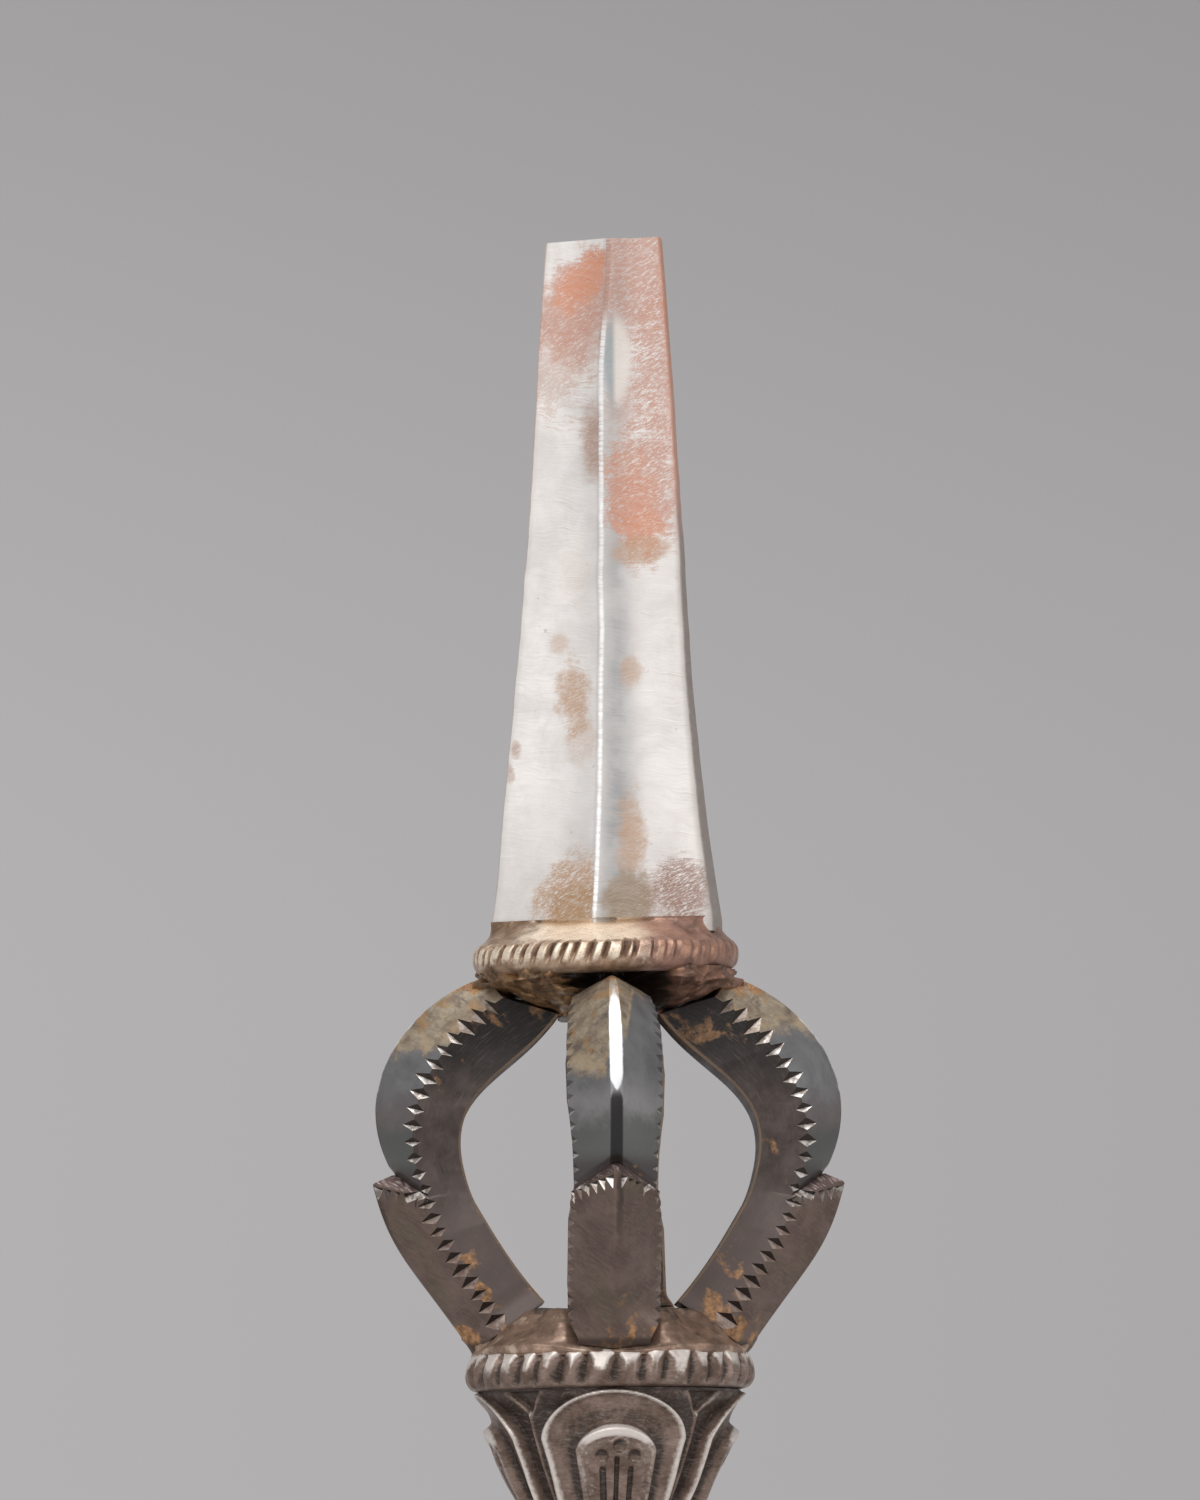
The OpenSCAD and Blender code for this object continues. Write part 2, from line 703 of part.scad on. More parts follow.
module crescent_blade() {
    half_t = crescent_t / 2;
    half_edge_t = edge_t / 2;
    flat_r = edge_r - bevel_w;
    color(silver) difference() {
        intersection() {
            rotate([90, 0, 0]) linear_extrude(crescent_t, center = true) crescent_outline();
            union() {
                translate([0, 0, z_edge_centre]) rotate([90, 0, 0]) rotate_extrude($fn = 240)
                    polygon([[0, -half_t], [0, half_t], [flat_r, half_t],
                        [edge_r, half_edge_t], [edge_r, -half_edge_t], [flat_r, -half_t]]);
                translate([hook_centre[0], 0, hook_centre[1]]) rotate([90, 0, 0])
                    cylinder(r = hook_r + past, h = crescent_t - hook_thinned, center = true);
            }
        }
        tab_cheeks();
        rivet_holes();
    }
}

finial_blade();
blade_collar();
cage_cap();
prong(0);  // prong_front
prong(90);  // prong_right
prong(180, -back_shift);  // prong_back
prong(270);  // prong_left
cage_base();
cage_ring();
upper_lotus();
upper_waist_rings();
grip_knob();
lower_waist_rings();
lower_lotus();
bolster_ring();
core_rod();
bolster();
bolster_rivets();
crescent_blade();
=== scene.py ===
# Kartika: the looks of a forged ritual knife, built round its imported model.
# Meshes are worked out in millimetres, and are turned into metres where they are made.
import math

import bmesh
import bpy
import numpy as np
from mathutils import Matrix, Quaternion, Vector, noise
from mathutils.bvhtree import BVHTree


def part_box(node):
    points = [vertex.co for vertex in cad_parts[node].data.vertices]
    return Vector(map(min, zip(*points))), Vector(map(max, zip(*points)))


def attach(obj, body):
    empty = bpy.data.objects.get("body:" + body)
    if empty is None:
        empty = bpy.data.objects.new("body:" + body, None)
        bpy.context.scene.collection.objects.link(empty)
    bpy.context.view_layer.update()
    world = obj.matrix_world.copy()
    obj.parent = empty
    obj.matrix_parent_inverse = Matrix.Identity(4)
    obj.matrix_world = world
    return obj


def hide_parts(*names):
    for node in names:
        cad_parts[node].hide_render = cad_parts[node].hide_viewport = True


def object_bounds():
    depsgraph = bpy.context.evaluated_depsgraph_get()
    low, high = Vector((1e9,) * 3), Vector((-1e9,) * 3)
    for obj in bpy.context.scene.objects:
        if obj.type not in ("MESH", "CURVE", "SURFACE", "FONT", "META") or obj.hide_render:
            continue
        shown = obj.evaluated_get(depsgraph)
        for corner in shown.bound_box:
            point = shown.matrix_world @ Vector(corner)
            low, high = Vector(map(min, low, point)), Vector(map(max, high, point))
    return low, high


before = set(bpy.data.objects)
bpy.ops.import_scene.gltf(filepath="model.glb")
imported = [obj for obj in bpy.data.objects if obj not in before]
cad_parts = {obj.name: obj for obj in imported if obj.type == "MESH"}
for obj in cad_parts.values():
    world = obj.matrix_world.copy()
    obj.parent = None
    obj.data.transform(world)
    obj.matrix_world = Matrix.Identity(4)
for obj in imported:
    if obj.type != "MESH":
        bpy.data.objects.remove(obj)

cad_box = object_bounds()
MM = 0.001


def span(node):
    """Lowest and highest corner of a node, in millimetres."""
    low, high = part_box(node)
    return np.array(low) / MM, np.array(high) / MM


# Heights that the pieces share
z_lotus = span("upper_lotus")[0][2]
z_ring = span("cage_ring")[0][2]
z_cage = span("cage_base")[0][2]
z_collar = span("blade_collar")[0][2]
z_blade = span("blade_collar")[1][2]
z_tip = span("finial_blade")[1][2]
blade_turn = math.radians(-10)
cage_turn = math.radians(2)
lotus_turn = math.radians(2)


def srgb(red, green, blue):
    """Colour as a screen shows it, 0 to 255, as the linear colour that a shader takes."""
    def linear(c):
        c = c / 255
        return c / 12.92 if c <= 0.04045 else ((c + 0.055) / 1.055) ** 2.4
    return (linear(red), linear(green), linear(blue), 1.0)


class Wiring:
    """Adds nodes to one tree, and feeds their inputs with plain values or with other nodes' outputs."""

    def __init__(self, tree):
        self.tree = tree

    def add(self, kind, feeds=None, **settings):
        """New node with its settings, and with what feeds its inputs, by their names or indices."""
        node = self.tree.nodes.new(kind)
        for name, value in settings.items():
            setattr(node, name, value)
        for name, value in (feeds or {}).items():
            self.feed(node.inputs[name], value)
        return node

    def feed(self, socket, value):
        """Feeds a socket with a plain value, or with another node's output."""
        if isinstance(value, bpy.types.NodeSocket):
            self.tree.links.new(value, socket)
        else:
            socket.default_value = value

    def math(self, operation, *values):
        """Output of a math node."""
        node = self.add("ShaderNodeMath", operation=operation)
        for socket, value in zip(node.inputs, values):
            self.feed(socket, value)
        return node.outputs[0]

    def times(self, first, second):
        return self.math("MULTIPLY", first, second)

    def plus(self, first, second):
        return self.math("ADD", first, second)

    def minus(self, first, second):
        return self.math("SUBTRACT", first, second)

    def vector(self, operation, *values):
        """Vector math node, whose outputs are a Vector and a Value."""
        node = self.add("ShaderNodeVectorMath", operation=operation)
        for socket, value in zip(node.inputs, values):
            self.feed(socket, value)
        return node

    def scaled(self, vector, factor):
        """Vector times a number."""
        node = self.add("ShaderNodeVectorMath", operation="SCALE")
        self.feed(node.inputs[0], vector)
        self.feed(node.inputs["Scale"], factor)
        return node.outputs[0]

    def spread(self, value, low, high, to_low=0.0, to_high=1.0):
        """Value eased from to_low to to_high as it goes from low to high."""
        node = self.add("ShaderNodeMapRange", interpolation_type="SMOOTHSTEP")
        for socket, fed in zip(node.inputs, (value, low, high, to_low, to_high)):
            self.feed(socket, fed)
        return node.outputs[0]

    def blend(self, share, first, second):
        """Colour that goes from the first to the second as share goes from 0 to 1."""
        node = self.add("ShaderNodeMix", data_type="RGBA")
        for index, fed in ((0, share), (6, first), (7, second)):
            self.feed(node.inputs[index], fed)
        return node.outputs[2]

    def noise(self, vector, scale, detail=3.0, roughness=0.55, distortion=0.0):
        """Noise from 0 to 1, mostly near a half."""
        feeds = {"Vector": vector, "Scale": scale, "Detail": detail, "Roughness": roughness,
                 "Distortion": distortion}
        return self.add("ShaderNodeTexNoise", feeds).outputs["Fac"]

    def random(self, low, high, seed, salt, number=None):
        """Random value for each point, or for each value of number, another one for each salt."""
        node = self.add("FunctionNodeRandomValue", {2: low, 3: high}, data_type="FLOAT")
        if number is not None:
            self.feed(node.inputs["ID"], number)
        self.feed(node.inputs["Seed"], self.plus(seed, salt))
        return node.outputs[1]

    def attribute(self, name):
        """Number that a mesh keeps under a name."""
        return self.add("ShaderNodeAttribute", attribute_name=name).outputs["Fac"]


def new_group(name, inputs, outputs, kind="ShaderNodeTree"):
    """Node group with named sockets. inputs maps a name to (socket kind, value)."""
    tree = bpy.data.node_groups.new(name, kind)
    for label, (socket_kind, value) in inputs.items():
        socket = tree.interface.new_socket(label, in_out="INPUT", socket_type="NodeSocket" + socket_kind)
        if value is not None:
            socket.default_value = value
    for label, socket_kind in outputs.items():
        tree.interface.new_socket(label, in_out="OUTPUT", socket_type="NodeSocket" + socket_kind)
    wires = Wiring(tree)
    return wires, wires.add("NodeGroupInput").outputs, wires.add("NodeGroupOutput").inputs


def file_marks_group():
    """Fine strokes left by a file, drawn out along X and Y and slanted by Slope."""
    wires, ins, outs = new_group("file marks", {
        "Place": ("Vector", (0, 0, 0)), "Spacing": ("Float", 0.2), "Stretch": ("Float", 14.0),
        "Slope": ("Float", 0.05), "Waver": ("Float", 0.3)}, {"Strokes": "Float", "Gouges": "Float"})
    parts = wires.add("ShaderNodeSeparateXYZ", {"Vector": ins["Place"]}).outputs
    waver = wires.times(wires.minus(wires.noise(ins["Place"], 0.35, 1.0), 0.5), ins["Waver"])
    height = wires.plus(wires.plus(parts["Z"], wires.times(parts["X"], ins["Slope"])), waver)
    run = wires.times(ins["Spacing"], ins["Stretch"])
    place = wires.add("ShaderNodeCombineXYZ", {
        "X": wires.math("DIVIDE", parts["X"], run), "Y": wires.math("DIVIDE", parts["Y"], run),
        "Z": wires.math("DIVIDE", height, ins["Spacing"])}).outputs[0]
    wires.feed(outs["Strokes"], wires.noise(place, 1.0, 4.0, 0.65))
    wires.feed(outs["Gouges"], wires.spread(wires.noise(place, 0.45, 2.0, 0.5), 0.62, 0.74))
    return wires.tree


def patch_group():
    """Stain of a given place and size, solid in its core and broken up by strokes, blots and flecks."""
    wires, ins, outs = new_group("patch", {
        "Place": ("Vector", (0, 0, 0)), "Centre": ("Vector", (0, 0, 0)), "Size": ("Vector", (1, 1, 1)),
        "Slope": ("Float", 0.0), "Strokes": ("Float", 0.5), "Streaked": ("Float", 1.0),
        "Blotted": ("Float", 0.5), "Flecked": ("Float", 0.5), "Softness": ("Float", 0.25)},
        {"Mask": "Float"})
    parts = wires.add("ShaderNodeSeparateXYZ", {"Vector": ins["Place"]}).outputs
    level = wires.minus(parts["Z"], wires.times(parts["X"], ins["Slope"]))
    leaning = wires.add("ShaderNodeCombineXYZ", {"X": parts["X"], "Z": level}).outputs[0]
    away = wires.vector("SUBTRACT", leaning, ins["Centre"]).outputs[0]
    share = wires.vector("DIVIDE", away, ins["Size"]).outputs[0]
    inside = wires.minus(1.0, wires.vector("LENGTH", share).outputs["Value"])
    blots = wires.minus(wires.noise(ins["Place"], 0.6, 5.0, 0.65), 0.5)
    slanted = wires.add("ShaderNodeVectorRotate", {"Vector": ins["Place"], "Angle": 0.5},
                        rotation_type="Y_AXIS")
    grain = wires.vector("MULTIPLY", slanted.outputs[0], (1.5, 1.5, 6.5)).outputs[0]
    flecks = wires.minus(wires.noise(grain, 1.0, 5.0, 0.8), 0.5)
    streaks = wires.minus(ins["Strokes"], 0.5)
    blotted = wires.times(blots, ins["Blotted"])
    streaked = wires.times(streaks, ins["Streaked"])
    flecked = wires.times(flecks, ins["Flecked"])
    rough = wires.plus(blotted, wires.plus(streaked, flecked))
    rough = wires.times(rough, wires.spread(inside, 0.45, 0.9, 1.0, 0.35))
    field = wires.plus(inside, rough)
    half = wires.times(ins["Softness"], 0.5)
    mask = wires.spread(field, wires.times(half, -1.0), half)
    gaps = wires.times(wires.spread(flecks, -0.02, 0.14), ins["Flecked"])
    gaps = wires.times(gaps, wires.spread(inside, 0.0, 0.9, 0.7, 0.42))
    kept = wires.math("MAXIMUM", wires.minus(1.0, gaps), 0.0)
    wires.feed(outs["Mask"], wires.times(mask, kept))
    return wires.tree


def patina_group():
    """Colour that drifts between two tones in clouds and in fine grain."""
    wires, ins, outs = new_group("patina", {
        "Place": ("Vector", (0, 0, 0)), "Light": ("Color", (1, 1, 1, 1)), "Dark": ("Color", (0, 0, 0, 1)),
        "Cloud Size": ("Float", 3.0), "Grain": ("Float", 0.35)}, {"Colour": "Color", "Clouds": "Float"})
    clouds = wires.noise(ins["Place"], wires.math("DIVIDE", 1.0, ins["Cloud Size"]), 4.0, 0.6, 0.4)
    grain = wires.noise(ins["Place"], 3.2, 3.0, 0.7)
    drift = wires.plus(wires.spread(clouds, 0.3, 0.7), wires.times(wires.minus(grain, 0.5), ins["Grain"]))
    wires.feed(outs["Colour"], wires.blend(drift, ins["Dark"], ins["Light"]))
    wires.feed(outs["Clouds"], drift)
    return wires.tree


def worn_and_lit_group():
    """Where handling has rubbed a raised edge bright, and where dirt has stayed in a hollow. Where a
    piece's relief carries painted highlights and painted shade, they come out here too.
    """
    wires, ins, outs = new_group("wear_and_light", {
        "Place": ("Vector", (0, 0, 0)), "Relief": ("Float", 0.0), "Wear": ("Float", 0.6),
        "Dirt": ("Float", 0.6)}, {"Rubbed And Lit": "Float", "Dirty And Shaded": "Float"})
    grain = wires.minus(wires.noise(ins["Place"], 1.6, 4.0, 0.65), 0.5)
    broken = wires.plus(ins["Relief"], wires.times(grain, 0.8))
    wires.feed(outs["Rubbed And Lit"], wires.times(wires.spread(broken, 0.25, 0.85), ins["Wear"]))
    wires.feed(outs["Dirty And Shaded"], wires.times(wires.spread(broken, -0.15, -0.75), ins["Dirt"]))
    return wires.tree


FILE_MARKS = file_marks_group()
PATCH = patch_group()
PATINA = patina_group()
WEAR_AND_LIGHT = worn_and_lit_group()


class Finish(Wiring):
    """One material: its Place is the point on the object in millimetres."""

    def __init__(self, name, **settings):
        material = bpy.data.materials.new(name)
        material.use_nodes = True
        super().__init__(material.node_tree)
        self.material = material
        self.shader = self.tree.nodes["Principled BSDF"]
        for label, value in settings.items():
            self.shader.inputs[label.replace("_", " ")].default_value = value
        self.place = self.scaled(self.add("ShaderNodeTexCoord").outputs["Object"], 1 / MM)
        parts = self.add("ShaderNodeSeparateXYZ", {"Vector": self.place}).outputs
        self.x, self.z = parts["X"], parts["Z"]

    def group(self, tree, **feeds):
        """Outputs of a node group. An input's name has an underscore here for each space in it."""
        node = self.add("ShaderNodeGroup", node_tree=tree)
        for label, value in feeds.items():
            self.feed(node.inputs[label.replace("_", " ")], value)
        return node.outputs

    def patina(self, light, dark, cloud_size, grain):
        """Colour that drifts between two tones. A cloud is cloud_size millimetres wide."""
        return self.group(PATINA, Place=self.place, Light=light, Dark=dark, Cloud_Size=cloud_size,
                          Grain=grain)["Colour"]

    def drift(self, width, *noise_settings):
        """Noise that swings round zero, and is width from its lowest to its highest."""
        return self.times(self.minus(self.noise(self.place, *noise_settings), 0.5), width)

    def bump(self, height, depth, strength):
        """Height, 0 to 1, as a relief of a depth in millimetres."""
        node = self.add("ShaderNodeBump", {"Strength": strength, "Distance": depth * MM, "Height": height})
        if self.shader.inputs["Normal"].links:
            self.feed(node.inputs["Normal"], self.shader.inputs["Normal"].links[0].from_socket)
        self.feed(self.shader.inputs["Normal"], node.outputs["Normal"])

    def done(self, colour, roughness, metallic):
        """The finished material."""
        self.feed(self.shader.inputs["Base Color"], colour)
        self.feed(self.shader.inputs["Roughness"], roughness)
        self.feed(self.shader.inputs["Metallic"], metallic)
        return self.material


# Stains on the finial blade, by facet: centre x and z, half width and half height, slope, colour, strength,
# and how streaked, blotted and flecked the rim is
COPPER = srgb(196, 130, 98)
PINK_COPPER = srgb(180, 131, 112)
DUSTY_COPPER = srgb(174, 132, 112)
TAN = srgb(172, 136, 106)
GOLDEN = srgb(160, 124, 86)
BROWN = srgb(158, 122, 104)
MAUVE = srgb(140, 106, 91)
OLIVE = srgb(136, 115, 90)
LEFT_STAINS = (
    ("fade towards the left edge", -4.4, 133.6, 3.2, 5.6, 0.3, DUSTY_COPPER, 0.5, 2.4, 1.6, 2.2),
    ("fade beside the ridge, left", -1.4, 136.0, 2.6, 4.6, 0.3, DUSTY_COPPER, 0.5, 2.2, 1.4, 2.2),
    ("copper zone at the tip, left", -2.6, 139.2, 4.6, 5.0, 0.38, PINK_COPPER, 0.85, 1.0, 1.6, 1.2),
    ("solid copper at the tip, left", -2.3, 141.6, 2.7, 2.3, 0.7, COPPER, 0.9, 1.6, 2.2, 1.2),
    ("copper beside the ridge, left", -1.1, 142.4, 1.7, 1.7, 0.5, COPPER, 0.75, 1.6, 2.0, 1.0),
    ("brown beside the ridge", -1.0, 125.4, 1.3, 3.6, 0.0, BROWN, 0.85, 1.0, 1.2, 1.2),
    ("spot", -4.7, 105.1, 1.0, 1.1, 0.0, TAN, 0.5, 0.8, 2.4, 1.2),
    ("streak", -3.2, 99.6, 1.6, 3.4, -0.4, TAN, 0.85, 0.8, 2.4, 1.4),
    ("smudge under the streak", -2.4, 95.6, 1.6, 2.6, 0.0, TAN, 0.35, 0.8, 2.0, 1.6),
    ("pale smudge", -3.0, 112.0, 1.4, 3.2, 0.0, TAN, 0.16, 0.8, 2.0, 1.6),
    ("tan at the foot, left", -3.8, 79.8, 3.4, 3.9, 0.3, TAN, 0.95, 1.2, 1.8, 2.4),
    ("golden at the foot, left", -3.0, 78.2, 3.2, 2.4, 0.0, GOLDEN, 0.95, 1.0, 1.6, 1.6),
    ("speck by the left edge", -9.0, 94.4, 0.5, 0.8, 0.0, BROWN, 0.7, 1.0, 1.6, 1.0),
    ("lower speck by the left edge", -9.6, 92.1, 0.4, 0.9, 0.0, BROWN, 0.6, 1.0, 1.6, 1.0))
RIGHT_STAINS = (
    ("copper at the tip, right", 3.0, 142.6, 5.2, 6.6, 0.0, PINK_COPPER, 0.85, 1.2, 1.2, 1.9),
    ("copper down the right side", 5.4, 133.0, 3.2, 10.4, 0.0, PINK_COPPER, 0.85, 2.0, 1.6, 3.6),
    ("flecks under the grey window", 2.4, 128.8, 2.6, 3.0, 0.0, PINK_COPPER, 0.45, 2.0, 1.2, 3.0),
    ("copper across the middle, right", 3.6, 120.0, 4.2, 7.0, -0.1, PINK_COPPER, 0.9, 1.2, 1.8, 2.0),
    ("solid copper in the middle", 3.0, 119.6, 2.9, 4.2, -0.5, COPPER, 0.5, 1.8, 2.2, 1.4),
    ("copper lower down in the middle", 3.9, 116.6, 2.6, 2.2, -0.1, COPPER, 0.66, 1.4, 2.0, 1.2),
    ("tan rim under the copper", 3.6, 114.4, 3.2, 1.5, 0.15, TAN, 0.6, 0.8, 0.8, 0.8),
    ("spot on the grey band", 2.5, 102.2, 1.1, 1.8, 0.0, TAN, 0.65, 0.6, 2.2, 1.0),
    ("streak on the grey band", 2.4, 85.4, 1.4, 4.2, 0.0, TAN, 0.8, 0.6, 2.2, 1.0),
    ("olive at the foot", 2.2, 79.2, 2.8, 2.8, 0.0, OLIVE, 0.92, 0.6, 1.0, 0.8),
    ("brown at the foot, right", 7.3, 80.0, 3.4, 3.7, 0.0, MAUVE, 0.98, 1.2, 1.2, 2.8))
BACK_STAINS = (
    ("copper at the tip, back", 2.6, 139.0, 4.5, 8.0, 0.1, PINK_COPPER, 0.85, 1.0, 1.2, 1.4),
    ("solid copper, back", 2.8, 141.0, 2.4, 3.6, 0.0, COPPER, 0.9, 0.8, 1.0, 1.0),
    ("copper lower down, back", -3.4, 125.0, 3.6, 7.5, 0.0, PINK_COPPER, 0.8, 1.5, 1.2, 1.8),
    ("tan streak, back", 2.4, 104.0, 1.6, 6.0, 0.0, TAN, 0.7, 0.9, 1.4, 1.4),
    ("brown at the foot, back", -5.4, 80.6, 4.4, 4.6, 0.0, MAUVE, 0.8, 1.4, 1.2, 2.4))


def stain_facet(f, colour, stained, stains, side, strokes):
    """Lays a facet's stains over a colour, and keeps in stained how strong the strongest is.
    A small stain has a softer rim."""
    for label, x, z, half_w, half_h, slope, tone, strength, streaked, blotted, flecked in stains:
        softness = 0.42 if half_w > 2 else 0.85
        mask = f.group(PATCH, Place=f.place, Centre=(x, 0, z - slope * x), Size=(half_w, 1, half_h),
                       Slope=slope, Strokes=strokes, Streaked=streaked, Blotted=blotted, Flecked=flecked,
                       Softness=softness)["Mask"]
        mask = f.times(f.times(mask, side), strength)
        colour = f.blend(mask, colour, tone)
        stained = f.math("MAXIMUM", stained, mask)
    return colour, stained


def bright_blade():
    """Filed silver-white steel with copper stains that the heat of brazing left."""
    f = Finish("filed blade")
    marks = f.group(FILE_MARKS, Place=f.place, Spacing=0.2, Stretch=12.0, Slope=0.1, Waver=1.6)
    strokes, gouges = marks["Strokes"], marks["Gouges"]
    silver = f.patina(srgb(220, 216, 213), srgb(201, 197, 194), 5.0, 0.5)
    right = f.math("MAXIMUM", f.attribute("facet"), 0.0)
    left = f.math("MAXIMUM", f.times(f.attribute("facet"), -1.0), 0.0)
    back = f.minus(1.0, f.math("ABSOLUTE", f.attribute("facet")))
    # painted reflection: a grey band beside the ridge, for the dark room mirrored in the hollow-ground
    # facet
    band = f.times(f.attribute("hollow"), f.spread(f.z, z_blade + 62, z_blade + 6, 0.5, 1.0))
    band = f.times(band, f.spread(f.noise(f.place, 0.35, 3.0), 0.3, 0.7, 0.7, 1.1))
    colour = f.blend(band, silver, srgb(143, 146, 148))
    below_tip = f.times(right, f.spread(f.z, z_tip - 4, z_tip - 9))
    colour = f.blend(f.times(below_tip, 0.12), colour, srgb(214, 202, 196))
    stained = 0.0
    for stains, side in ((LEFT_STAINS, left), (RIGHT_STAINS, right), (BACK_STAINS, back)):
        colour, stained = stain_facet(f, colour, stained, stains, side, strokes)
    # painted reflection: near the tip the grey band widens into a grey window, turning pale towards the
    # right edge
    window = f.group(PATCH, Place=f.place, Centre=(1.2, 0, 133.6), Size=(1.35, 1, 4.4), Strokes=strokes,
                     Streaked=0.6, Blotted=0.5, Flecked=0.6, Softness=0.6)["Mask"]
    window = f.times(f.times(window, right), 0.85)
    window_reflection_tone = f.blend(f.spread(f.x, 0.7, 1.3), srgb(150, 158, 162), srgb(222, 214, 206))
    colour = f.blend(window, colour, window_reflection_tone)
    edge_tone = f.blend(f.spread(f.z, 112, 124), srgb(118, 104, 94), srgb(190, 124, 94))
    edge = f.times(f.attribute("edge"), f.spread(f.x, -2.0, 2.0, 0.3, 0.85))
    colour = f.blend(edge, colour, edge_tone)
    # painted highlight: a white line along the ridge, broken by hatching, turning red-brown near the tip
    crest = f.blend(f.spread(f.z, z_tip - 10, z_tip - 6), srgb(236, 236, 236), srgb(168, 122, 106))
    flattened = f.vector("MULTIPLY", f.place, (0.5, 0.5, 4.0)).outputs[0]
    hatch = f.spread(f.noise(flattened, 1.0, 2.0), 0.45, 0.6, 1.0, 0.45)
    crest_highlight = f.spread(f.attribute("off_ridge"), 0.30, 0.14)
    # painted shadow line along the left side of the ridge
    beside = f.times(f.spread(f.attribute("off_ridge"), 0.62, 0.34), left)
    colour = f.blend(f.times(beside, 0.25), colour, srgb(132, 128, 126))
    colour = f.blend(f.times(f.times(crest_highlight, hatch), 0.9), colour, crest)
    specks = f.spread(f.noise(f.place, 1.1, 2.0, 0.5), 0.74, 0.78, 0.0, 0.5)
    colour = f.blend(specks, colour, srgb(150, 138, 130))
    fine = f.spread(strokes, 0.35, 0.65, 0.0, 0.2)
    colour = f.blend(fine, colour, srgb(204, 197, 192))
    roughness = f.spread(strokes, 0.3, 0.7, 0.38, 0.52)
    f.bump(strokes, 0.03, 0.6)
    f.bump(gouges, 0.015, 0.5)
    return f.done(colour, roughness, f.spread(stained, 0.0, 1.0, 0.3, 0.15))


def carved_iron(name, light, dark, rubbed_and_lit, dirty_and_shaded):
    """Forged and chiselled iron: brown patina, pale on what stands up, dark in the hollows, and with
    painted highlights and painted shade where its relief carries them.
    """
    f = Finish(name)
    marks = f.group(FILE_MARKS, Place=f.place, Spacing=0.16, Stretch=7.0, Slope=0.1, Waver=2.0)
    tone = f.group(PATINA, Place=f.place, Light=light, Dark=dark, Cloud_Size=2.6, Grain=0.8)
    wear_and_light = f.group(WEAR_AND_LIGHT, Place=f.place, Relief=f.attribute("relief"), Wear=0.8, Dirt=0.9)
    colour = f.blend(wear_and_light["Rubbed And Lit"], tone["Colour"], rubbed_and_lit)
    colour = f.blend(wear_and_light["Dirty And Shaded"], colour, dirty_and_shaded)
    glint = f.spread(marks["Strokes"], 0.45, 0.8, 0.0, 0.16)
    colour = f.blend(glint, colour, rubbed_and_lit)
    roughness = f.plus(f.spread(tone["Clouds"], 0.2, 0.9, 0.42, 0.3), f.times(wear_and_light["Dirty And Shaded"], 0.2))
    f.bump(f.noise(f.place, 0.9, 3.0, 0.6), 0.12, 0.6)
    f.bump(marks["Strokes"], 0.05, 0.7)
    return f.done(colour, roughness, f.spread(wear_and_light["Dirty And Shaded"], 0.0, 1.0, 0.5, 0.25))


def heat_tints(f, height, cross, along, straw_z, straw_right_z, tint):
    """Roof above the step: straw down to its line, then grey steel, then a tint, and painted shade
    darkening it towards the step.
    """
    steel = f.patina(srgb(127, 127, 128), srgb(104, 104, 106), 4.0, 0.3)
    steel = f.blend(f.spread(height, 61.0, 57.5, 0.0, 0.8), steel, tint)
    steel = f.blend(f.spread(height, 58.4, 55.2, 0.0, 0.9), steel, srgb(92, 95, 93))
    # painted shade: the roof darkens just above the step
    steel = f.blend(f.spread(f.z, 53.6, 51.6, 0.0, 0.7), steel, srgb(66, 60, 58))
    straw = f.patina(srgb(178, 164, 142), srgb(134, 118, 102), 1.6, 0.9)
    straw = f.blend(f.spread(cross, 0.45, 0.75, 0.0, 0.55), straw, srgb(108, 94, 84))
    mottled = f.noise(f.vector("MULTIPLY", along, (1.0, 1.0, 0.6)).outputs[0], 0.55, 5.0, 0.65)
    straw = f.blend(f.spread(mottled, 0.5, 0.64, 0.0, 0.75), straw, srgb(98, 88, 82))
    straw = f.blend(f.spread(f.noise(f.place, 0.5, 4.0), 0.54, 0.66, 0.0, 0.6), straw, srgb(166, 128, 86))
    straw_line = f.spread(f.x, 1.7, 2.7, f.spread(f.x, -0.4, 0.5, straw_z, 64.6), straw_right_z)
    above = f.minus(height, straw_line)
    roof = f.blend(f.spread(above, -1.3, 1.1), steel, straw)
    rim = f.times(f.spread(above, -0.8, 0.4), f.spread(above, 2.4, 0.8))
    return f.blend(f.times(f.times(rim, 0.7), f.spread(mottled, 0.42, 0.6)), roof, srgb(196, 176, 146))


def brown_lower_half(f, cross, across):
    """Roof below the step: brown, with painted shade down its ridge, for a groove that the mesh doesn't
    have.
    """
    lower = f.patina(srgb(112, 95, 87), srgb(90, 73, 67), 3.0, 0.6)
    lower = f.blend(f.spread(f.noise(f.place, 0.22, 2.0), 0.5, 0.66, 0.0, 0.5), lower, srgb(96, 88, 74))
    lower = f.blend(f.spread(cross, 0.42, 0.7, 0.0, 0.35), lower, srgb(128, 112, 102))
    # painted shade along the ridge, where a groove runs that isn't modelled
    aside = f.plus(f.minus(across, 0.3), f.drift(0.9, 0.6))
    ridge_groove_shade = f.times(f.spread(f.math("ABSOLUTE", aside), 0.5, 0.1), f.spread(f.z, 41.5, 48.5))
    ridge_groove_shade = f.times(ridge_groove_shade, f.spread(f.z, 51.6, 50.4))
    return f.blend(f.times(ridge_groove_shade, 0.65), lower, srgb(48, 38, 34))


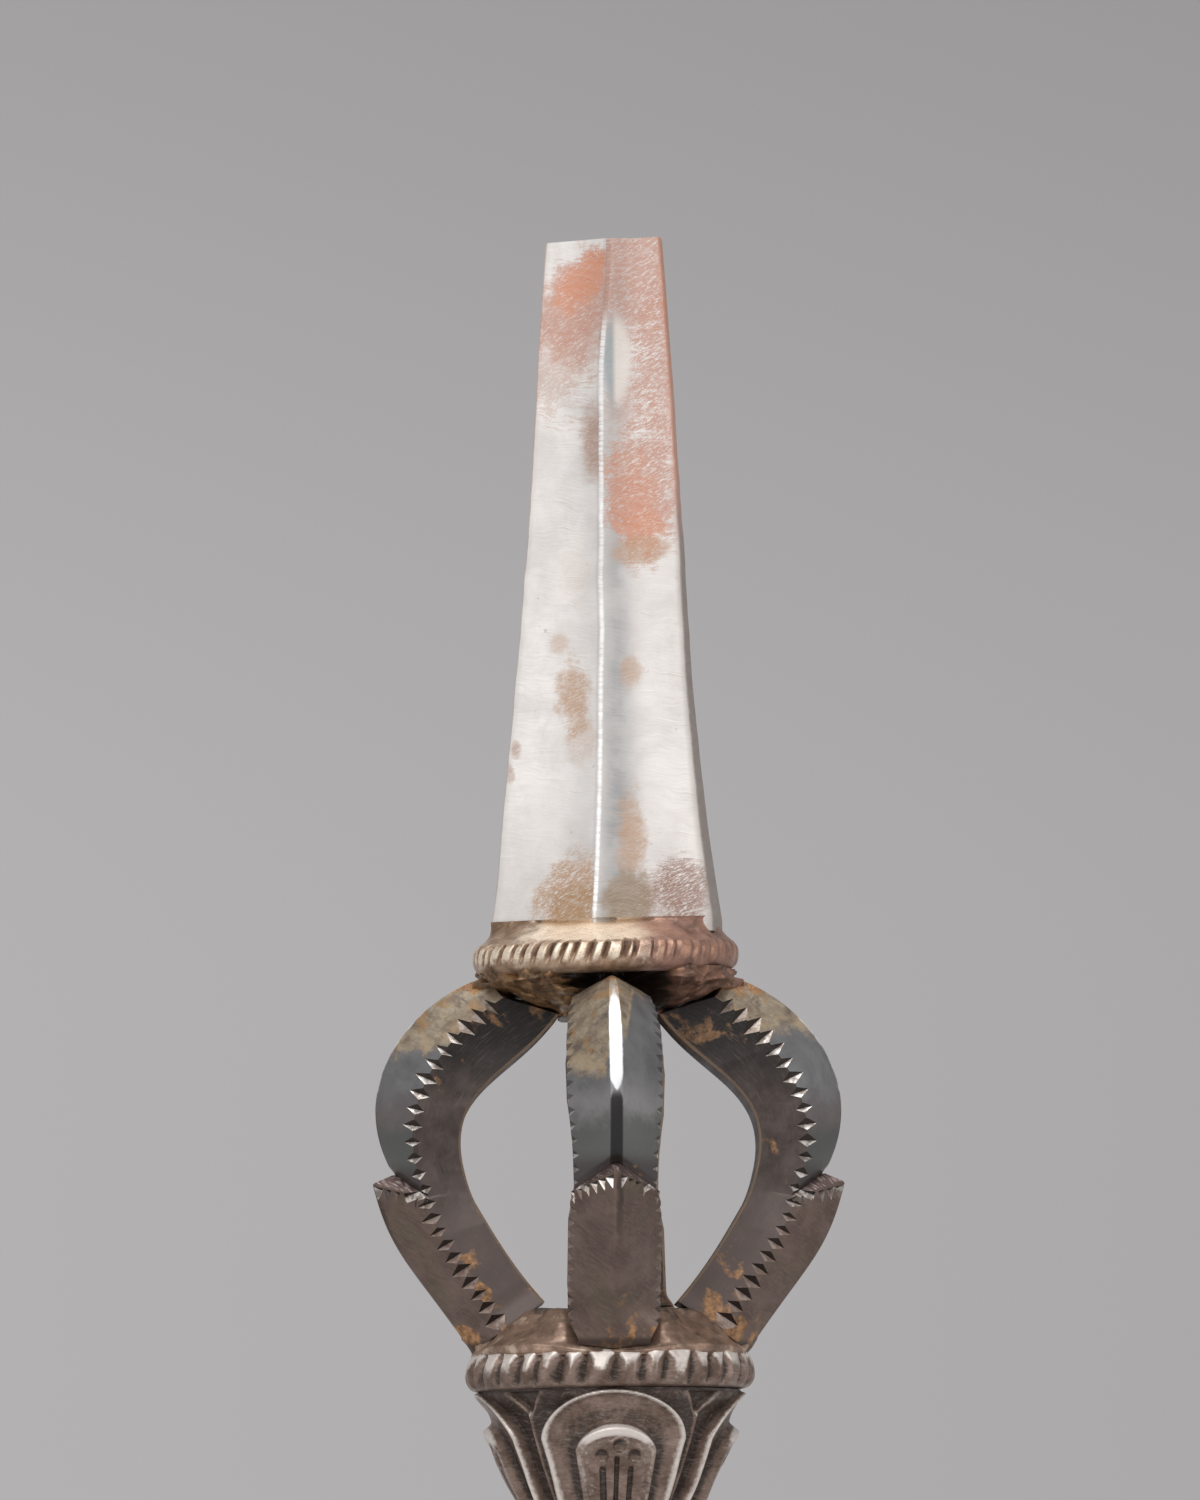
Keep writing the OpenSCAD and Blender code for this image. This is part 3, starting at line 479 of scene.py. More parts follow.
def dark_side_wall(f, height, strokes):
    """Side wall and inside: nearly black towards the tip, and browner towards the foot."""
    side = f.patina(srgb(86, 74, 70), srgb(60, 51, 47), 2.4, 0.6)
    side = f.blend(f.spread(height, 58, 66, 0.0, 1.0), side, srgb(22, 16, 14))
    side = f.blend(f.spread(height, 55, 44, 0.0, 0.7), side, srgb(98, 85, 81))
    return f.blend(f.spread(strokes, 0.5, 0.75, 0.0, 0.35), side, srgb(118, 104, 96))


def braze_at_ends(f, wall):
    """Where braze has run over a prong: in spots on its side walls, and all round its ends."""
    spots = f.noise(f.place, 0.28, 6.0, 0.62, 0.25)
    near_ends = f.plus(f.spread(f.z, 47, 37, 0.0, 0.16), f.spread(f.z, 60.0, 70.5, 0.0, 0.11))
    on_braze = f.spread(f.plus(spots, near_ends), 0.60, 0.70)
    on_braze = f.times(on_braze, f.spread(wall, 0.0, 1.0, 0.0, f.spread(f.z, 58.0, 67.0, 0.85, 0.45)))
    at_ends = f.plus(f.spread(f.z, 39.5, 35, 0.0, 0.2), f.spread(f.z, 69.0, 71.5, 0.0, 0.3))
    ends_only = f.spread(f.plus(spots, at_ends), 0.66, 0.74)
    return f.math("MAXIMUM", on_braze, f.times(ends_only, 0.9))


def painted_ridge_highlight(f, colour, across, wall):
    """Land along the ridge: a painted highlight in its upper part, thin at the tip, and a painted dark
    reflection of the floor below it, down to the step.
    """
    wavering = f.drift(0.3, 0.9, 3.0)
    bright_half = f.math("MINIMUM", f.spread(f.z, 58.6, 60.6, 0.0, 0.66),
                         f.spread(f.z, 70.6, 66.4, 0.04, 0.68))
    bright_half = f.plus(bright_half, wavering)
    dark_half = f.times(f.spread(f.z, 60.5, 58.0), 0.62)
    off_ridge = f.math("ABSOLUTE", across)
    lit = f.spread(f.minus(off_ridge, bright_half), 0.1, -0.14)
    lit = f.times(lit, f.spread(bright_half, 0.03, 0.2))
    dim = f.times(f.spread(f.minus(off_ridge, dark_half), 0.1, -0.12), f.spread(dark_half, 0.2, 0.6))
    on_roof = f.times(f.minus(1.0, f.attribute("lower")), f.minus(1.0, wall))
    # painted dark reflection on the land below the highlight, then the painted highlight itself
    colour = f.blend(f.times(dim, f.times(on_roof, 0.95)), colour, srgb(38, 36, 37))
    land_highlight_tone = f.blend(f.spread(f.z, 70.2, 67.6), srgb(150, 147, 145), srgb(232, 232, 234))
    return f.blend(f.times(lit, f.times(on_roof, 0.95)), colour, land_highlight_tone)


def chiselled(f, colour, cross, fresh):
    """Ledge, painted shade above the step, and nicks, which get a painted highlight where they face up and
    painted shade where they face down.
    """
    ledge = f.blend(f.spread(cross, 0.5, 0.64), srgb(100, 82, 80), srgb(186, 168, 160))
    colour = f.blend(f.attribute("ledge"), colour, ledge)
    # painted shade on the roof just above the step, under the ledge
    colour = f.blend(f.times(f.attribute("step_shade"), 0.25), colour, srgb(70, 52, 47))
    chips = f.noise(f.place, 1.4, 2.0, 0.5)
    bright_nick = f.blend(f.spread(chips, 0.4, 0.6), srgb(158, 146, 138), srgb(238, 233, 228))
    bright_nick = f.blend(f.spread(f.z, 51.0, 47.0, 0.0, 0.75), bright_nick, srgb(150, 124, 110))
    bright_nick = f.blend(f.spread(f.z, 64.0, 67.5, 0.0, 0.6), bright_nick, srgb(158, 134, 114))
    # painted highlight on nick faces that face up, painted shade on those that face down
    nick_lit_and_shaded_tone = f.blend(f.attribute("lit"), srgb(46, 38, 34), bright_nick)
    nick_share = f.times(f.attribute("nick"), f.math("MAXIMUM", f.attribute("dint"), fresh))
    return f.blend(nick_share, colour, nick_lit_and_shaded_tone)


def prong_steel(name, straw_z, straw_right_z, tint, fresh):
    """Dark filed steel: heat tints above the step, brown below it, braze run over both ends.
    The straw tint ends at straw_z on the left of the object, and at straw_right_z on its right.
    tint lies below the grey, and fresh is how strongly the nicks' bare tone and their painted highlight and
    shade show."""
    f = Finish(name)
    along = f.add("ShaderNodeCombineXYZ", {"X": f.attribute("along"), "Z": f.attribute("out")}).outputs[0]
    marks = f.group(FILE_MARKS, Place=along, Spacing=0.16, Stretch=16.0, Slope=0.02, Waver=0.5)
    strokes = marks["Strokes"]
    cross = f.group(FILE_MARKS, Place=f.place, Spacing=0.2, Stretch=6.0, Slope=0.7, Waver=1.0)["Strokes"]
    wall = f.attribute("wall")
    across = f.attribute("across")
    ragged = f.drift(5.0, 0.4, 4.0, 0.6)
    height = f.plus(f.plus(f.z, ragged), f.times(f.minus(cross, 0.5), 1.5))
    upper = heat_tints(f, height, cross, along, straw_z, straw_right_z, tint)
    roof = f.blend(f.attribute("lower"), upper, brown_lower_half(f, cross, across))
    colour = f.blend(wall, roof, dark_side_wall(f, height, strokes))
    colour = f.blend(f.times(f.attribute("rim"), 0.85), colour, srgb(160, 138, 118))
    braze = f.patina(srgb(188, 142, 98), srgb(112, 80, 52), 0.9, 1.6)
    colour = f.blend(braze_at_ends(f, wall), colour, braze)
    colour = painted_ridge_highlight(f, colour, across, wall)
    colour = chiselled(f, colour, cross, fresh)
    # painted shade at the foot of the prong, where it meets the base
    foot_shade = f.times(f.spread(f.z, z_cage + 1.6, z_cage + 0.9), f.minus(1.0, wall))
    colour = f.blend(f.times(foot_shade, 0.75), colour, srgb(46, 34, 28))
    roughness = f.plus(f.spread(strokes, 0.3, 0.7, 0.3, 0.42), f.times(wall, 0.12))
    f.bump(strokes, 0.03, 0.6)
    f.bump(f.noise(f.place, 1.1, 3.0), 0.06, 0.5)
    return f.done(colour, roughness, f.spread(wall, 0.0, 1.0, 0.55, 0.35))


def brazed(name, left, right, dirty_and_shaded, metallic):
    """Iron run over with bronze braze, worn pale where it stands out and dirty in its hollows, with painted
    highlights and painted shade where its relief carries them.
    left and right hold the light, the dark and the rubbed-and-lit tone of that side of the object."""
    f = Finish(name)
    marks = f.group(FILE_MARKS, Place=f.place, Spacing=0.14, Stretch=8.0, Slope=-0.05, Waver=2.2)
    gold = f.patina(left[0], left[1], 1.8, 0.9)
    copper = f.patina(right[0], right[1], 1.8, 0.9)
    drift = f.drift(8.0, 0.3, 3.0)
    colour = f.blend(f.spread(f.plus(f.x, drift), -1.0, 4.5), gold, copper)
    wear_and_light = f.group(WEAR_AND_LIGHT, Place=f.place, Relief=f.attribute("relief"), Wear=0.85, Dirt=0.9)
    rubbed_and_lit = f.blend(f.spread(f.plus(f.x, drift), 1.0, 6.0), left[2], right[2])
    colour = f.blend(wear_and_light["Rubbed And Lit"], colour, rubbed_and_lit)
    colour = f.blend(wear_and_light["Dirty And Shaded"], colour, dirty_and_shaded)
    f.bump(f.noise(f.place, 1.0, 3.0), 0.12, 0.6)
    f.bump(marks["Strokes"], 0.04, 0.7)
    roughness = f.minus(f.spread(marks["Strokes"], 0.3, 0.7, 0.28, 0.42), f.times(wear_and_light["Rubbed And Lit"], 0.08))
    return f.done(colour, roughness, f.spread(wear_and_light["Dirty And Shaded"], 0.0, 1.0, metallic, 0.1))


blade_finish = bright_blade()
prong_finish = prong_steel(
    "prong steel", straw_z=64.6, straw_right_z=66.4, tint=srgb(114, 104, 104), fresh=1.0)
front_prong_finish = prong_steel(
    "front prong steel", straw_z=61.4, straw_right_z=69.6, tint=srgb(146, 143, 143), fresh=0.55)
iron_finish = carved_iron(
    "carved iron", light=srgb(140, 120, 109), dark=srgb(94, 75, 64), rubbed_and_lit=srgb(236, 228, 221),
    dirty_and_shaded=srgb(44, 32, 26))
base_finish = carved_iron(
    "forged base iron", light=srgb(160, 132, 114), dark=srgb(108, 86, 72), rubbed_and_lit=srgb(214, 192, 172),
    dirty_and_shaded=srgb(48, 36, 29))
# the pale left rubbed tone also makes the painted highlight on the collar's flare
collar_finish = brazed(
    "braze on the collar", left=(srgb(174, 149, 126), srgb(122, 96, 75), srgb(253, 236, 214)),
    right=(srgb(154, 117, 101), srgb(108, 82, 71), srgb(178, 136, 114)), dirty_and_shaded=srgb(84, 60, 46),
    metallic=0.48)
# its near-black dark tone is painted shade in the gap under the collar
cap_finish = brazed(
    "braze under the collar", left=(srgb(146, 112, 76), srgb(74, 55, 40), srgb(186, 148, 108)),
    right=(srgb(138, 102, 84), srgb(88, 66, 54), srgb(164, 122, 98)), dirty_and_shaded=srgb(10, 8, 7), metallic=0.4)


def make_mesh(name, points, faces, finish, crease=35, **attributes):
    """Mesh object from points in millimetres, with a number at each point under each attribute's name."""
    mesh = bpy.data.meshes.new(name)
    mesh.from_pydata((np.asarray(points, float) * MM).tolist(), [], faces)
    for label, values in attributes.items():
        layer = mesh.attributes.new(label, "FLOAT", "POINT")
        layer.data.foreach_set("value", np.asarray(values, np.float32))
    piece = bpy.data.objects.new(name, mesh)
    bpy.context.scene.collection.objects.link(piece)
    face_out(mesh)
    if finish:
        mesh.materials.append(finish)
    smooth(mesh, crease)
    return piece


def face_out(mesh):
    """Turns the faces of a closed mesh outward."""
    work = bmesh.new()
    work.from_mesh(mesh)
    bmesh.ops.recalc_face_normals(work, faces=work.faces)
    work.to_mesh(mesh)
    work.free()


def smooth(mesh, crease):
    """Shades a mesh smooth, but for edges sharper than crease degrees."""
    mesh.polygons.foreach_set("use_smooth", [True] * len(mesh.polygons))
    mesh.set_sharp_from_angle(angle=math.radians(crease))


def grid_faces(rows, across, closed=True):
    """Faces between rows of points, each row closed into a ring or left open."""
    i = np.arange(rows - 1)[:, None] * across
    j = np.arange(across if closed else across - 1)[None, :]
    k = (j + 1) % across
    return np.stack([i + j, i + k, i + across + k, i + across + j], -1).reshape(-1, 4).tolist()


def capped(rings):
    """Points and faces of a skin over rings, closed at both ends by a fan round the ring's middle."""
    rings = np.asarray(rings)
    rows, across, _ = rings.shape
    points = np.concatenate([rings.reshape(-1, 3), [rings[0].mean(0), rings[-1].mean(0)]])
    faces = grid_faces(rows, across)
    first, last = rows * across, rows * across + 1
    for j in range(across):
        k = (j + 1) % across
        faces.append([first, j, k])
        faces.append([last, (rows - 1) * across + k, (rows - 1) * across + j])
    return points, faces


def turned(profile, around, shape=None):
    """Points and faces of a profile of [radius, height] turned about Z, closed on the axis at both ends.
    shape(radius, height, angle) may change the radii, an array of one row for each profile point."""
    profile = np.asarray(profile, float)
    angle = np.arange(around) * 2 * math.pi / around
    radius = np.repeat(profile[:, :1], around, 1)
    height = np.repeat(profile[:, 1:], around, 1)
    if shape:
        radius = shape(radius, height, angle[None, :])
    rings = np.stack([radius * np.cos(angle), radius * np.sin(angle), height], -1)
    return capped(rings)


def rounded(corners):
    """Smooth profile through a few [radius, height] corners, as a Catmull-Rom curve in even steps.
    A stretch over 5 mm long lies inside a piece and is hidden, so it gets only a few."""
    step, hidden_length, hidden_count = 0.12, 5, 5
    p = np.asarray(corners, float)
    p = np.concatenate([[2 * p[0] - p[1]], p, [2 * p[-1] - p[-2]]])
    out = []
    for a, b, c, d in zip(p, p[1:], p[2:], p[3:]):
        length = np.linalg.norm(c - b)
        count = hidden_count if length > hidden_length else max(2, int(length / step))
        t = np.linspace(0, 1, count, endpoint=False)[:, None]
        out.append(0.5 * (2 * b + (c - a) * t + (2 * a - 5 * b + 4 * c - d) * t ** 2
                          + (3 * b - a - 3 * c + d) * t ** 3))
    return np.concatenate(out + [p[-2:-1]])


def bumpy(points, size, seed=0.0):
    """Soft noise from -1 to 1 at each point, its lumps about size millimetres."""
    shift = Vector((seed * 7.3, seed * 3.1, seed * 5.7))
    return np.array([noise.noise(Vector(p) / size + shift) for p in np.asarray(points).reshape(-1, 3)])


def ease(value, low, high):
    """0 below low and 1 above high, with a smooth slope between them."""
    t = np.clip((value - low) / (high - low), 0, 1)
    return t * t * (3 - 2 * t)


def mix(a, b, t):
    """Value that goes from a to b as t goes from 0 to 1."""
    return a + (b - a) * t


def bezier(p, t):
    """Points of a cubic curve with four handles, at each share of the way."""
    p = np.asarray(p, float)
    t = np.asarray(t)[:, None]
    return (1 - t) ** 3 * p[0] + 3 * (1 - t) ** 2 * t * p[1] + 3 * (1 - t) * t ** 2 * p[2] + t ** 3 * p[3]


def about_z(points, angle):
    """Points turned about the handle's axis."""
    c, s = math.cos(angle), math.sin(angle)
    points = np.asarray(points, float)
    return np.stack([points[..., 0] * c - points[..., 1] * s,
                     points[..., 0] * s + points[..., 1] * c, points[..., 2]], -1)


def rim_notch_tree():
    """Geometry nodes that press a row of chisel notches into the rim of a turned piece."""
    wires, ins, outs = new_group("rim notches", {
        "Geometry": ("Geometry", None), "Count": ("Float", 33.0), "Depth": ("Float", 0.8 * MM),
        "Half Width": ("Float", 0.24), "Top": ("Float", 0.034), "Foot": ("Float", 0.03),
        "Taper": ("Float", 1.2 * MM), "Sharpness": ("Float", 0.75), "Uneven": ("Float", 0.25),
        "Slant": ("Float", 0.0), "Worn Side": ("Float", 0.0), "Fade": ("Float", 0.4 * MM),
        "Seed": ("Int", 4), "Metal": ("Material", None)}, {"Geometry": "Geometry"}, "GeometryNodeTree")
    rim_r = 13 * MM
    place = wires.add("GeometryNodeInputPosition").outputs[0]
    parts = wires.add("ShaderNodeSeparateXYZ", {"Vector": place}).outputs
    angle = wires.math("ARCTAN2", parts["Y"], parts["X"])
    turns = wires.times(wires.math("DIVIDE", angle, 2 * math.pi), ins["Count"])
    fallen = wires.math("DIVIDE", wires.minus(ins["Top"], parts["Z"]), ins["Taper"])
    turns = wires.plus(turns, wires.times(fallen, ins["Slant"]))
    cell = wires.math("ROUND", turns)
    wrapped = wires.math("WRAP", cell, ins["Count"], 0.0)

    shift = wires.times(wires.random(-0.5, 0.5, ins["Seed"], 0, wrapped), ins["Uneven"])
    shrunk = wires.times(wires.random(0.0, 1.0, ins["Seed"], 1, wrapped), ins["Uneven"])
    size = wires.minus(1.0, shrunk)
    uneven_taper = wires.times(ins["Taper"], ins["Uneven"])
    drop = wires.times(wires.random(-0.5, 0.5, ins["Seed"], 2, wrapped), uneven_taper)
    off = wires.math("ABSOLUTE", wires.minus(wires.minus(turns, cell), shift))
    below_top = wires.minus(wires.plus(ins["Top"], drop), parts["Z"])
    opened = wires.spread(below_top, 0.0, ins["Taper"])
    wide = wires.times(wires.times(ins["Half Width"], opened), size)
    groove = wires.minus(1.0, wires.math("DIVIDE", off, wires.plus(wide, 0.0001)))
    groove = wires.math("MAXIMUM", groove, 0.0)
    groove = wires.math("POWER", groove, ins["Sharpness"])
    above_foot = wires.spread(wires.minus(parts["Z"], ins["Foot"]), 0.0, ins["Fade"])
    groove = wires.times(groove, wires.times(above_foot, wires.math("SQRT", opened)))
    side = wires.spread(wires.math("DIVIDE", parts["X"], rim_r), 0.1, 0.75)
    kept = wires.minus(1.0, wires.times(side, ins["Worn Side"]))
    groove = wires.times(groove, kept)
    depth = wires.times(wires.times(groove, ins["Depth"]), size)
    radial = wires.add("ShaderNodeCombineXYZ", {"X": parts["X"], "Y": parts["Y"]}).outputs[0]
    inward = wires.scaled(wires.vector("NORMALIZE", radial).outputs[0], wires.times(depth, -1.0))
    moved = wires.add("GeometryNodeSetPosition", {"Geometry": ins["Geometry"], "Offset": inward})
    store = wires.add("GeometryNodeStoreNamedAttribute", {
        "Geometry": moved.outputs[0], "Name": "groove", "Value": groove})
    real = wires.add("GeometryNodeRealizeInstances", {"Geometry": store.outputs[0]})
    dressed = wires.add("GeometryNodeSetMaterial", {"Geometry": real.outputs[0], "Material": ins["Metal"]})
    wires.feed(outs["Geometry"], dressed.outputs[0])
    return wires.tree


def nick_tree():
    """Geometry nodes that cut a row of wedge nicks along the edges of a guide mesh."""
    wires, ins, outs = new_group("shoulder nicks", {
        "Geometry": ("Geometry", None), "Guide": ("Object", None), "Cutter": ("Object", None),
        "Pitch": ("Float", 1.5 * MM), "Nick Height": ("Float", 1.2 * MM),
        "Nick Depth": ("Float", 0.55 * MM), "Across": ("Float", 5 * MM), "Uneven": ("Float", 0.3),
        "Seed": ("Int", 7), "Metal": ("Material", None)}, {"Geometry": "Geometry"}, "GeometryNodeTree")
    guide = wires.add("GeometryNodeObjectInfo", {"Object": ins["Guide"]}).outputs["Geometry"]
    line = wires.add("GeometryNodeMeshToCurve", {"Mesh": guide}).outputs[0]
    even = wires.add("GeometryNodeResampleCurve", {"Curve": line, "Length": ins["Pitch"]},
                     mode="LENGTH").outputs[0]
    outward = wires.add("GeometryNodeInputNamedAttribute", {"Name": "outward"},
                        data_type="FLOAT_VECTOR").outputs[0]
    tangent = wires.add("GeometryNodeInputTangent").outputs[0]
    lying = wires.add("FunctionNodeAxesToRotation", {"Primary Axis": outward, "Secondary Axis": tangent},
                      primary_axis="Z", secondary_axis="X").outputs[0]

    smallest = wires.minus(1.0, ins["Uneven"])
    size_there = wires.add("GeometryNodeInputNamedAttribute", {"Name": "size"},
                           data_type="FLOAT").outputs[0]
    size = wires.times(wires.random(smallest, 1.0, ins["Seed"], 0), size_there)
    height = wires.times(wires.random(smallest, 1.0, ins["Seed"], 1), size)
    scale = wires.add("ShaderNodeCombineXYZ", {
        "X": wires.times(height, ins["Nick Height"]), "Y": ins["Across"],
        "Z": wires.times(size, ins["Nick Depth"])}).outputs[0]
    wedge = wires.add("GeometryNodeObjectInfo", {"Object": ins["Cutter"]}).outputs["Geometry"]
    placed = wires.add("GeometryNodeInstanceOnPoints", {
        "Points": even, "Instance": wedge, "Rotation": lying, "Scale": scale}).outputs[0]
    wedges = wires.add("GeometryNodeRealizeInstances", {"Geometry": placed}).outputs[0]
    cut = wires.add("GeometryNodeMeshBoolean", {"Mesh 1": ins["Geometry"], "Mesh 2": wedges},
                    operation="DIFFERENCE", solver="MANIFOLD").outputs[0]
    real = wires.add("GeometryNodeRealizeInstances", {"Geometry": cut}).outputs[0]
    dressed = wires.add("GeometryNodeSetMaterial", {"Geometry": real, "Material": ins["Metal"]})
    wires.feed(outs["Geometry"], dressed.outputs[0])
    return wires.tree


def unit_wedge():
    """Wedge of unit size: its edge runs along Y, 1 below the surface, its mouth spans 1 along X, and its
    body stands on past the surface."""
    mouth = [(-0.46, 0.0), (0.02, -1.0), (0.54, 0.0), (0.9, 1.0), (-0.7, 1.0)]
    points = [(x, side, z) for side in (-0.5, 0.5) for x, z in mouth]
    count = len(mouth)
    faces = [list(range(count)), list(range(count, 2 * count))]
    faces += [[i, (i + 1) % count, (i + 1) % count + count, i + count] for i in range(count)]
    return cutter("wedge", points, faces)


def unit_dint():
    """Three-sided dint of unit size: flat along its top, its point towards -Y, 1 deep near its top."""
    mouth = [(-0.5, 0.35), (0.5, 0.35), (0.0, -0.65)]
    spread_out = 1.9
    points = [(x, y, 0.0) for x, y in mouth] + [(x * spread_out, y * spread_out, 1.0) for x, y in mouth]
    points.append((0.0, 0.15, -1.0))
    faces = [[3, 4, 5]] + [[i, (i + 1) % 3, (i + 1) % 3 + 3, i + 3] for i in range(3)]
    faces += [[i, (i + 1) % 3, 6] for i in range(3)]
    return cutter("dint", points, faces)


def cutter(name, points, faces):
    """Tool that a tree cuts with. It isn't linked to the scene."""
    mesh = bpy.data.meshes.new(name)
    mesh.from_pydata(points, [], faces)
    face_out(mesh)
    return bpy.data.objects.new(name, mesh)


def run_tree(piece, tree, crease, **values):
    """Runs a geometry tree on a piece, and keeps the result as its plain mesh."""
    modifier = piece.modifiers.new(tree.name, "NODES")
    modifier.node_group = tree
    sockets = {item.name: item.identifier for item in tree.interface.items_tree if item.in_out == "INPUT"}
    for label, value in values.items():
        modifier[sockets[label.replace("_", " ")]] = value
    bpy.context.view_layer.update()
    seen = piece.evaluated_get(bpy.context.evaluated_depsgraph_get())
    result = bpy.data.meshes.new_from_object(seen)
    piece.modifiers.remove(modifier)
    old = piece.data
    piece.data = result
    bpy.data.meshes.remove(old)
    smooth(result, crease)


nick_wedge = unit_wedge()
nick_dint = unit_dint()
RIM_NOTCHES = rim_notch_tree()
NICKS = nick_tree()


def settle(piece, slot, *nodes):
    """Puts a finished piece in the place of its nodes."""
    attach(piece, "root")
    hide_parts(*nodes)


def set_values(mesh, label, values, domain="POINT"):
    """Stores a number at each point or face of a mesh."""
    layer = mesh.attributes.get(label) or mesh.attributes.new(label, "FLOAT", domain)
    layer.data.foreach_set("value", np.asarray(values, np.float32))


def values_of(mesh, label):
    """The number stored at each point of a mesh."""
    values = np.zeros(len(mesh.vertices), np.float32)
    mesh.attributes[label].data.foreach_get("value", values)
    return values


def set_points(mesh, points):
    """Moves a mesh's points to places in millimetres."""
    mesh.vertices.foreach_set("co", (points * MM).astype(np.float32).ravel())
    mesh.update()


def points_of(mesh):
    """Points of a mesh in millimetres."""
    flat = np.zeros(len(mesh.vertices) * 3, np.float32)
    mesh.vertices.foreach_get("co", flat)
    return flat.reshape(-1, 3) / MM


# The finial blade
def blade_section(s, u, z, width):
    """Ring of the blade's section at a height and u of the way down, and how far each point lies from its
    ridge. s holds the shares of the way from the ridge to the edge that its points stand at."""
    tip_edge, root_edge = 1.7, 5.6
    tip_depth, root_depth = 4.0, 15.0
    crown_left, crown_right, rise = 0.2, -0.14, 0.12
    hollow, bevel = 0.45, 0.14
    middle = math.sin(math.pi * u)
    half_w = width / 2 + 0.05 * noise.noise((7.7, 0, z / 4)) * middle
    half_edge = mix(tip_edge, root_edge, u * u) / 2
    half_depth = mix(tip_depth, root_depth, u ** 5) / 2
    sway = (0.1 * noise.noise((3.1, 0, z / 6)) + 0.04 * noise.noise((9.4, 0, z / 1.3))) * middle
    ridge_x = 0.85 * (1 - ease(u, 0.0, 0.24)) + 0.1 * noise.noise((5.7, 0, z / 5)) * middle
    land = mix(0.1, 0.17, u) * (1 + 0.35 * noise.noise((1.4, 0, z / 2.5)))
    x = np.concatenate([[0], land + s * (half_w - bevel - land), [half_w, half_w]])
    depth = mix(half_depth, half_edge + bevel * 0.5, s) - hollow * 4 * s * (1 - s)
    y = np.concatenate([[half_depth + 0.03], depth, [half_edge - bevel, 0]])
    right = np.stack([x, -y], 1)
    half = np.concatenate([right, (right * [1, -1])[-2::-1]])
    left = (half * [-1, 1])[-2:0:-1]
    ring = np.concatenate([half, left])
    ring[:, 0] += sway + ridge_x * (1 - np.abs(ring[:, 0]) / half_w)
    off_ridge = np.abs(ring[:, 0] - ridge_x - sway)
    out_left = -0.44 * (1 - ease(z, 98, 122)) * ease(z, 78, 90)
    out_right = 0.16 * ease(z, 104, 112)
    ring[:, 0] += np.where(ring[:, 0] < 0, out_left, out_right) * np.abs(ring[:, 0] / half_w)
    crown = np.where(ring[:, 0] < 0, crown_left, crown_right)
    drop = (crown * (ring[:, 0] / half_w) ** 2 - rise) * max(0.0, 1 - u * 12)
    return np.column_stack([ring, z - drop]), off_ridge


def blade_numbers(s, u):
    """Numbers for the blade's finish at each point of its section: how much of the grey hollow shows there,
    a painted reflection of the dark room in the hollow-ground facet beside the ridge, how much of the edge
    shows there, and its facet, 1 at the front right, -1 at the front left and 0 behind."""
    facet = np.concatenate([[0], np.ones(len(s)), [0, 0]])
    # painted reflection: how strongly the grey band shows, a little way off the ridge
    ground = np.concatenate([[0], np.exp(-((s - 0.17) / mix(0.15, 0.2, u)) ** 2), [0, 0]])
    rim = np.concatenate([[0], (s > 0.985) * 0.6, [1, 1]])
    numbers = {}
    for label, front_right, behind, front_left in (
            ("hollow", ground, ground * 0.5, ground * 0.1),
            ("edge", rim, rim, rim),
            ("facet", facet, np.zeros(len(facet)), -facet)):
        right = np.concatenate([front_right, behind[-2::-1]])
        left = np.concatenate([front_left, behind[-2::-1]])
        numbers[label] = np.concatenate([right, left[-2:0:-1]])
    return numbers


def finial_blade():
    """Tapering blade with a filed ridge, hollow-ground facets and flat edges, and its hidden tang."""
    tip_w, middle_w, root_w = 11.4, 15.3, 22.4
    below = 1.4
    rows, facet_steps = 230, 16
    length = z_tip - z_blade
    s = np.linspace(0, 1, facet_steps)
    fallen = np.linspace(0, length + below, rows)
    shares = np.minimum(fallen / length, 1)
    widths = bezier([[tip_w, 0], [middle_w, 0], [middle_w, 0], [root_w, 0]], shares)[:, 0]
    rings, layers = [], {"hollow": [], "edge": [], "facet": [], "off_ridge": []}
    for u, down, width in zip(shares, fallen, widths):
        ring, off_ridge = blade_section(s, u, z_tip - down, width)
        rings.append(ring)
        for label, numbers in blade_numbers(s, u).items():
            layers[label].append(numbers)
        layers["off_ridge"].append(off_ridge)
    rings = np.array(rings)
    top = rings[0]
    inner = [np.column_stack([top[:, :2] * share, mix(top[:, 2].mean(), top[:, 2], share)])
             for share in (0.35, 0.7, 0.93)]
    rings[0][:, :2] *= 0.992
    rings = np.concatenate([inner, rings])
    points, faces = capped(about_z(rings, blade_turn))
    pads = [0, 0]
    values = {label: np.concatenate([np.ravel([rows_of[0]] * len(inner) + rows_of), pads])
              for label, rows_of in layers.items()}
    blade = make_mesh("finial_blade_filed", points, faces, blade_finish, crease=24, **values)
    tang_r = 2.6
    low = span("finial_blade")[0][2]
    profile = [[tang_r - 0.2, low], [tang_r, low + 0.2], [tang_r, z_blade - 1]]
    points, faces = turned(profile, around=48)
    tang = make_mesh("tang", points, faces, prong_finish, wall=np.ones(len(points)))
    settle(tang, "prong_steel", "finial_blade")
    settle(blade, "blade_steel", "finial_blade")


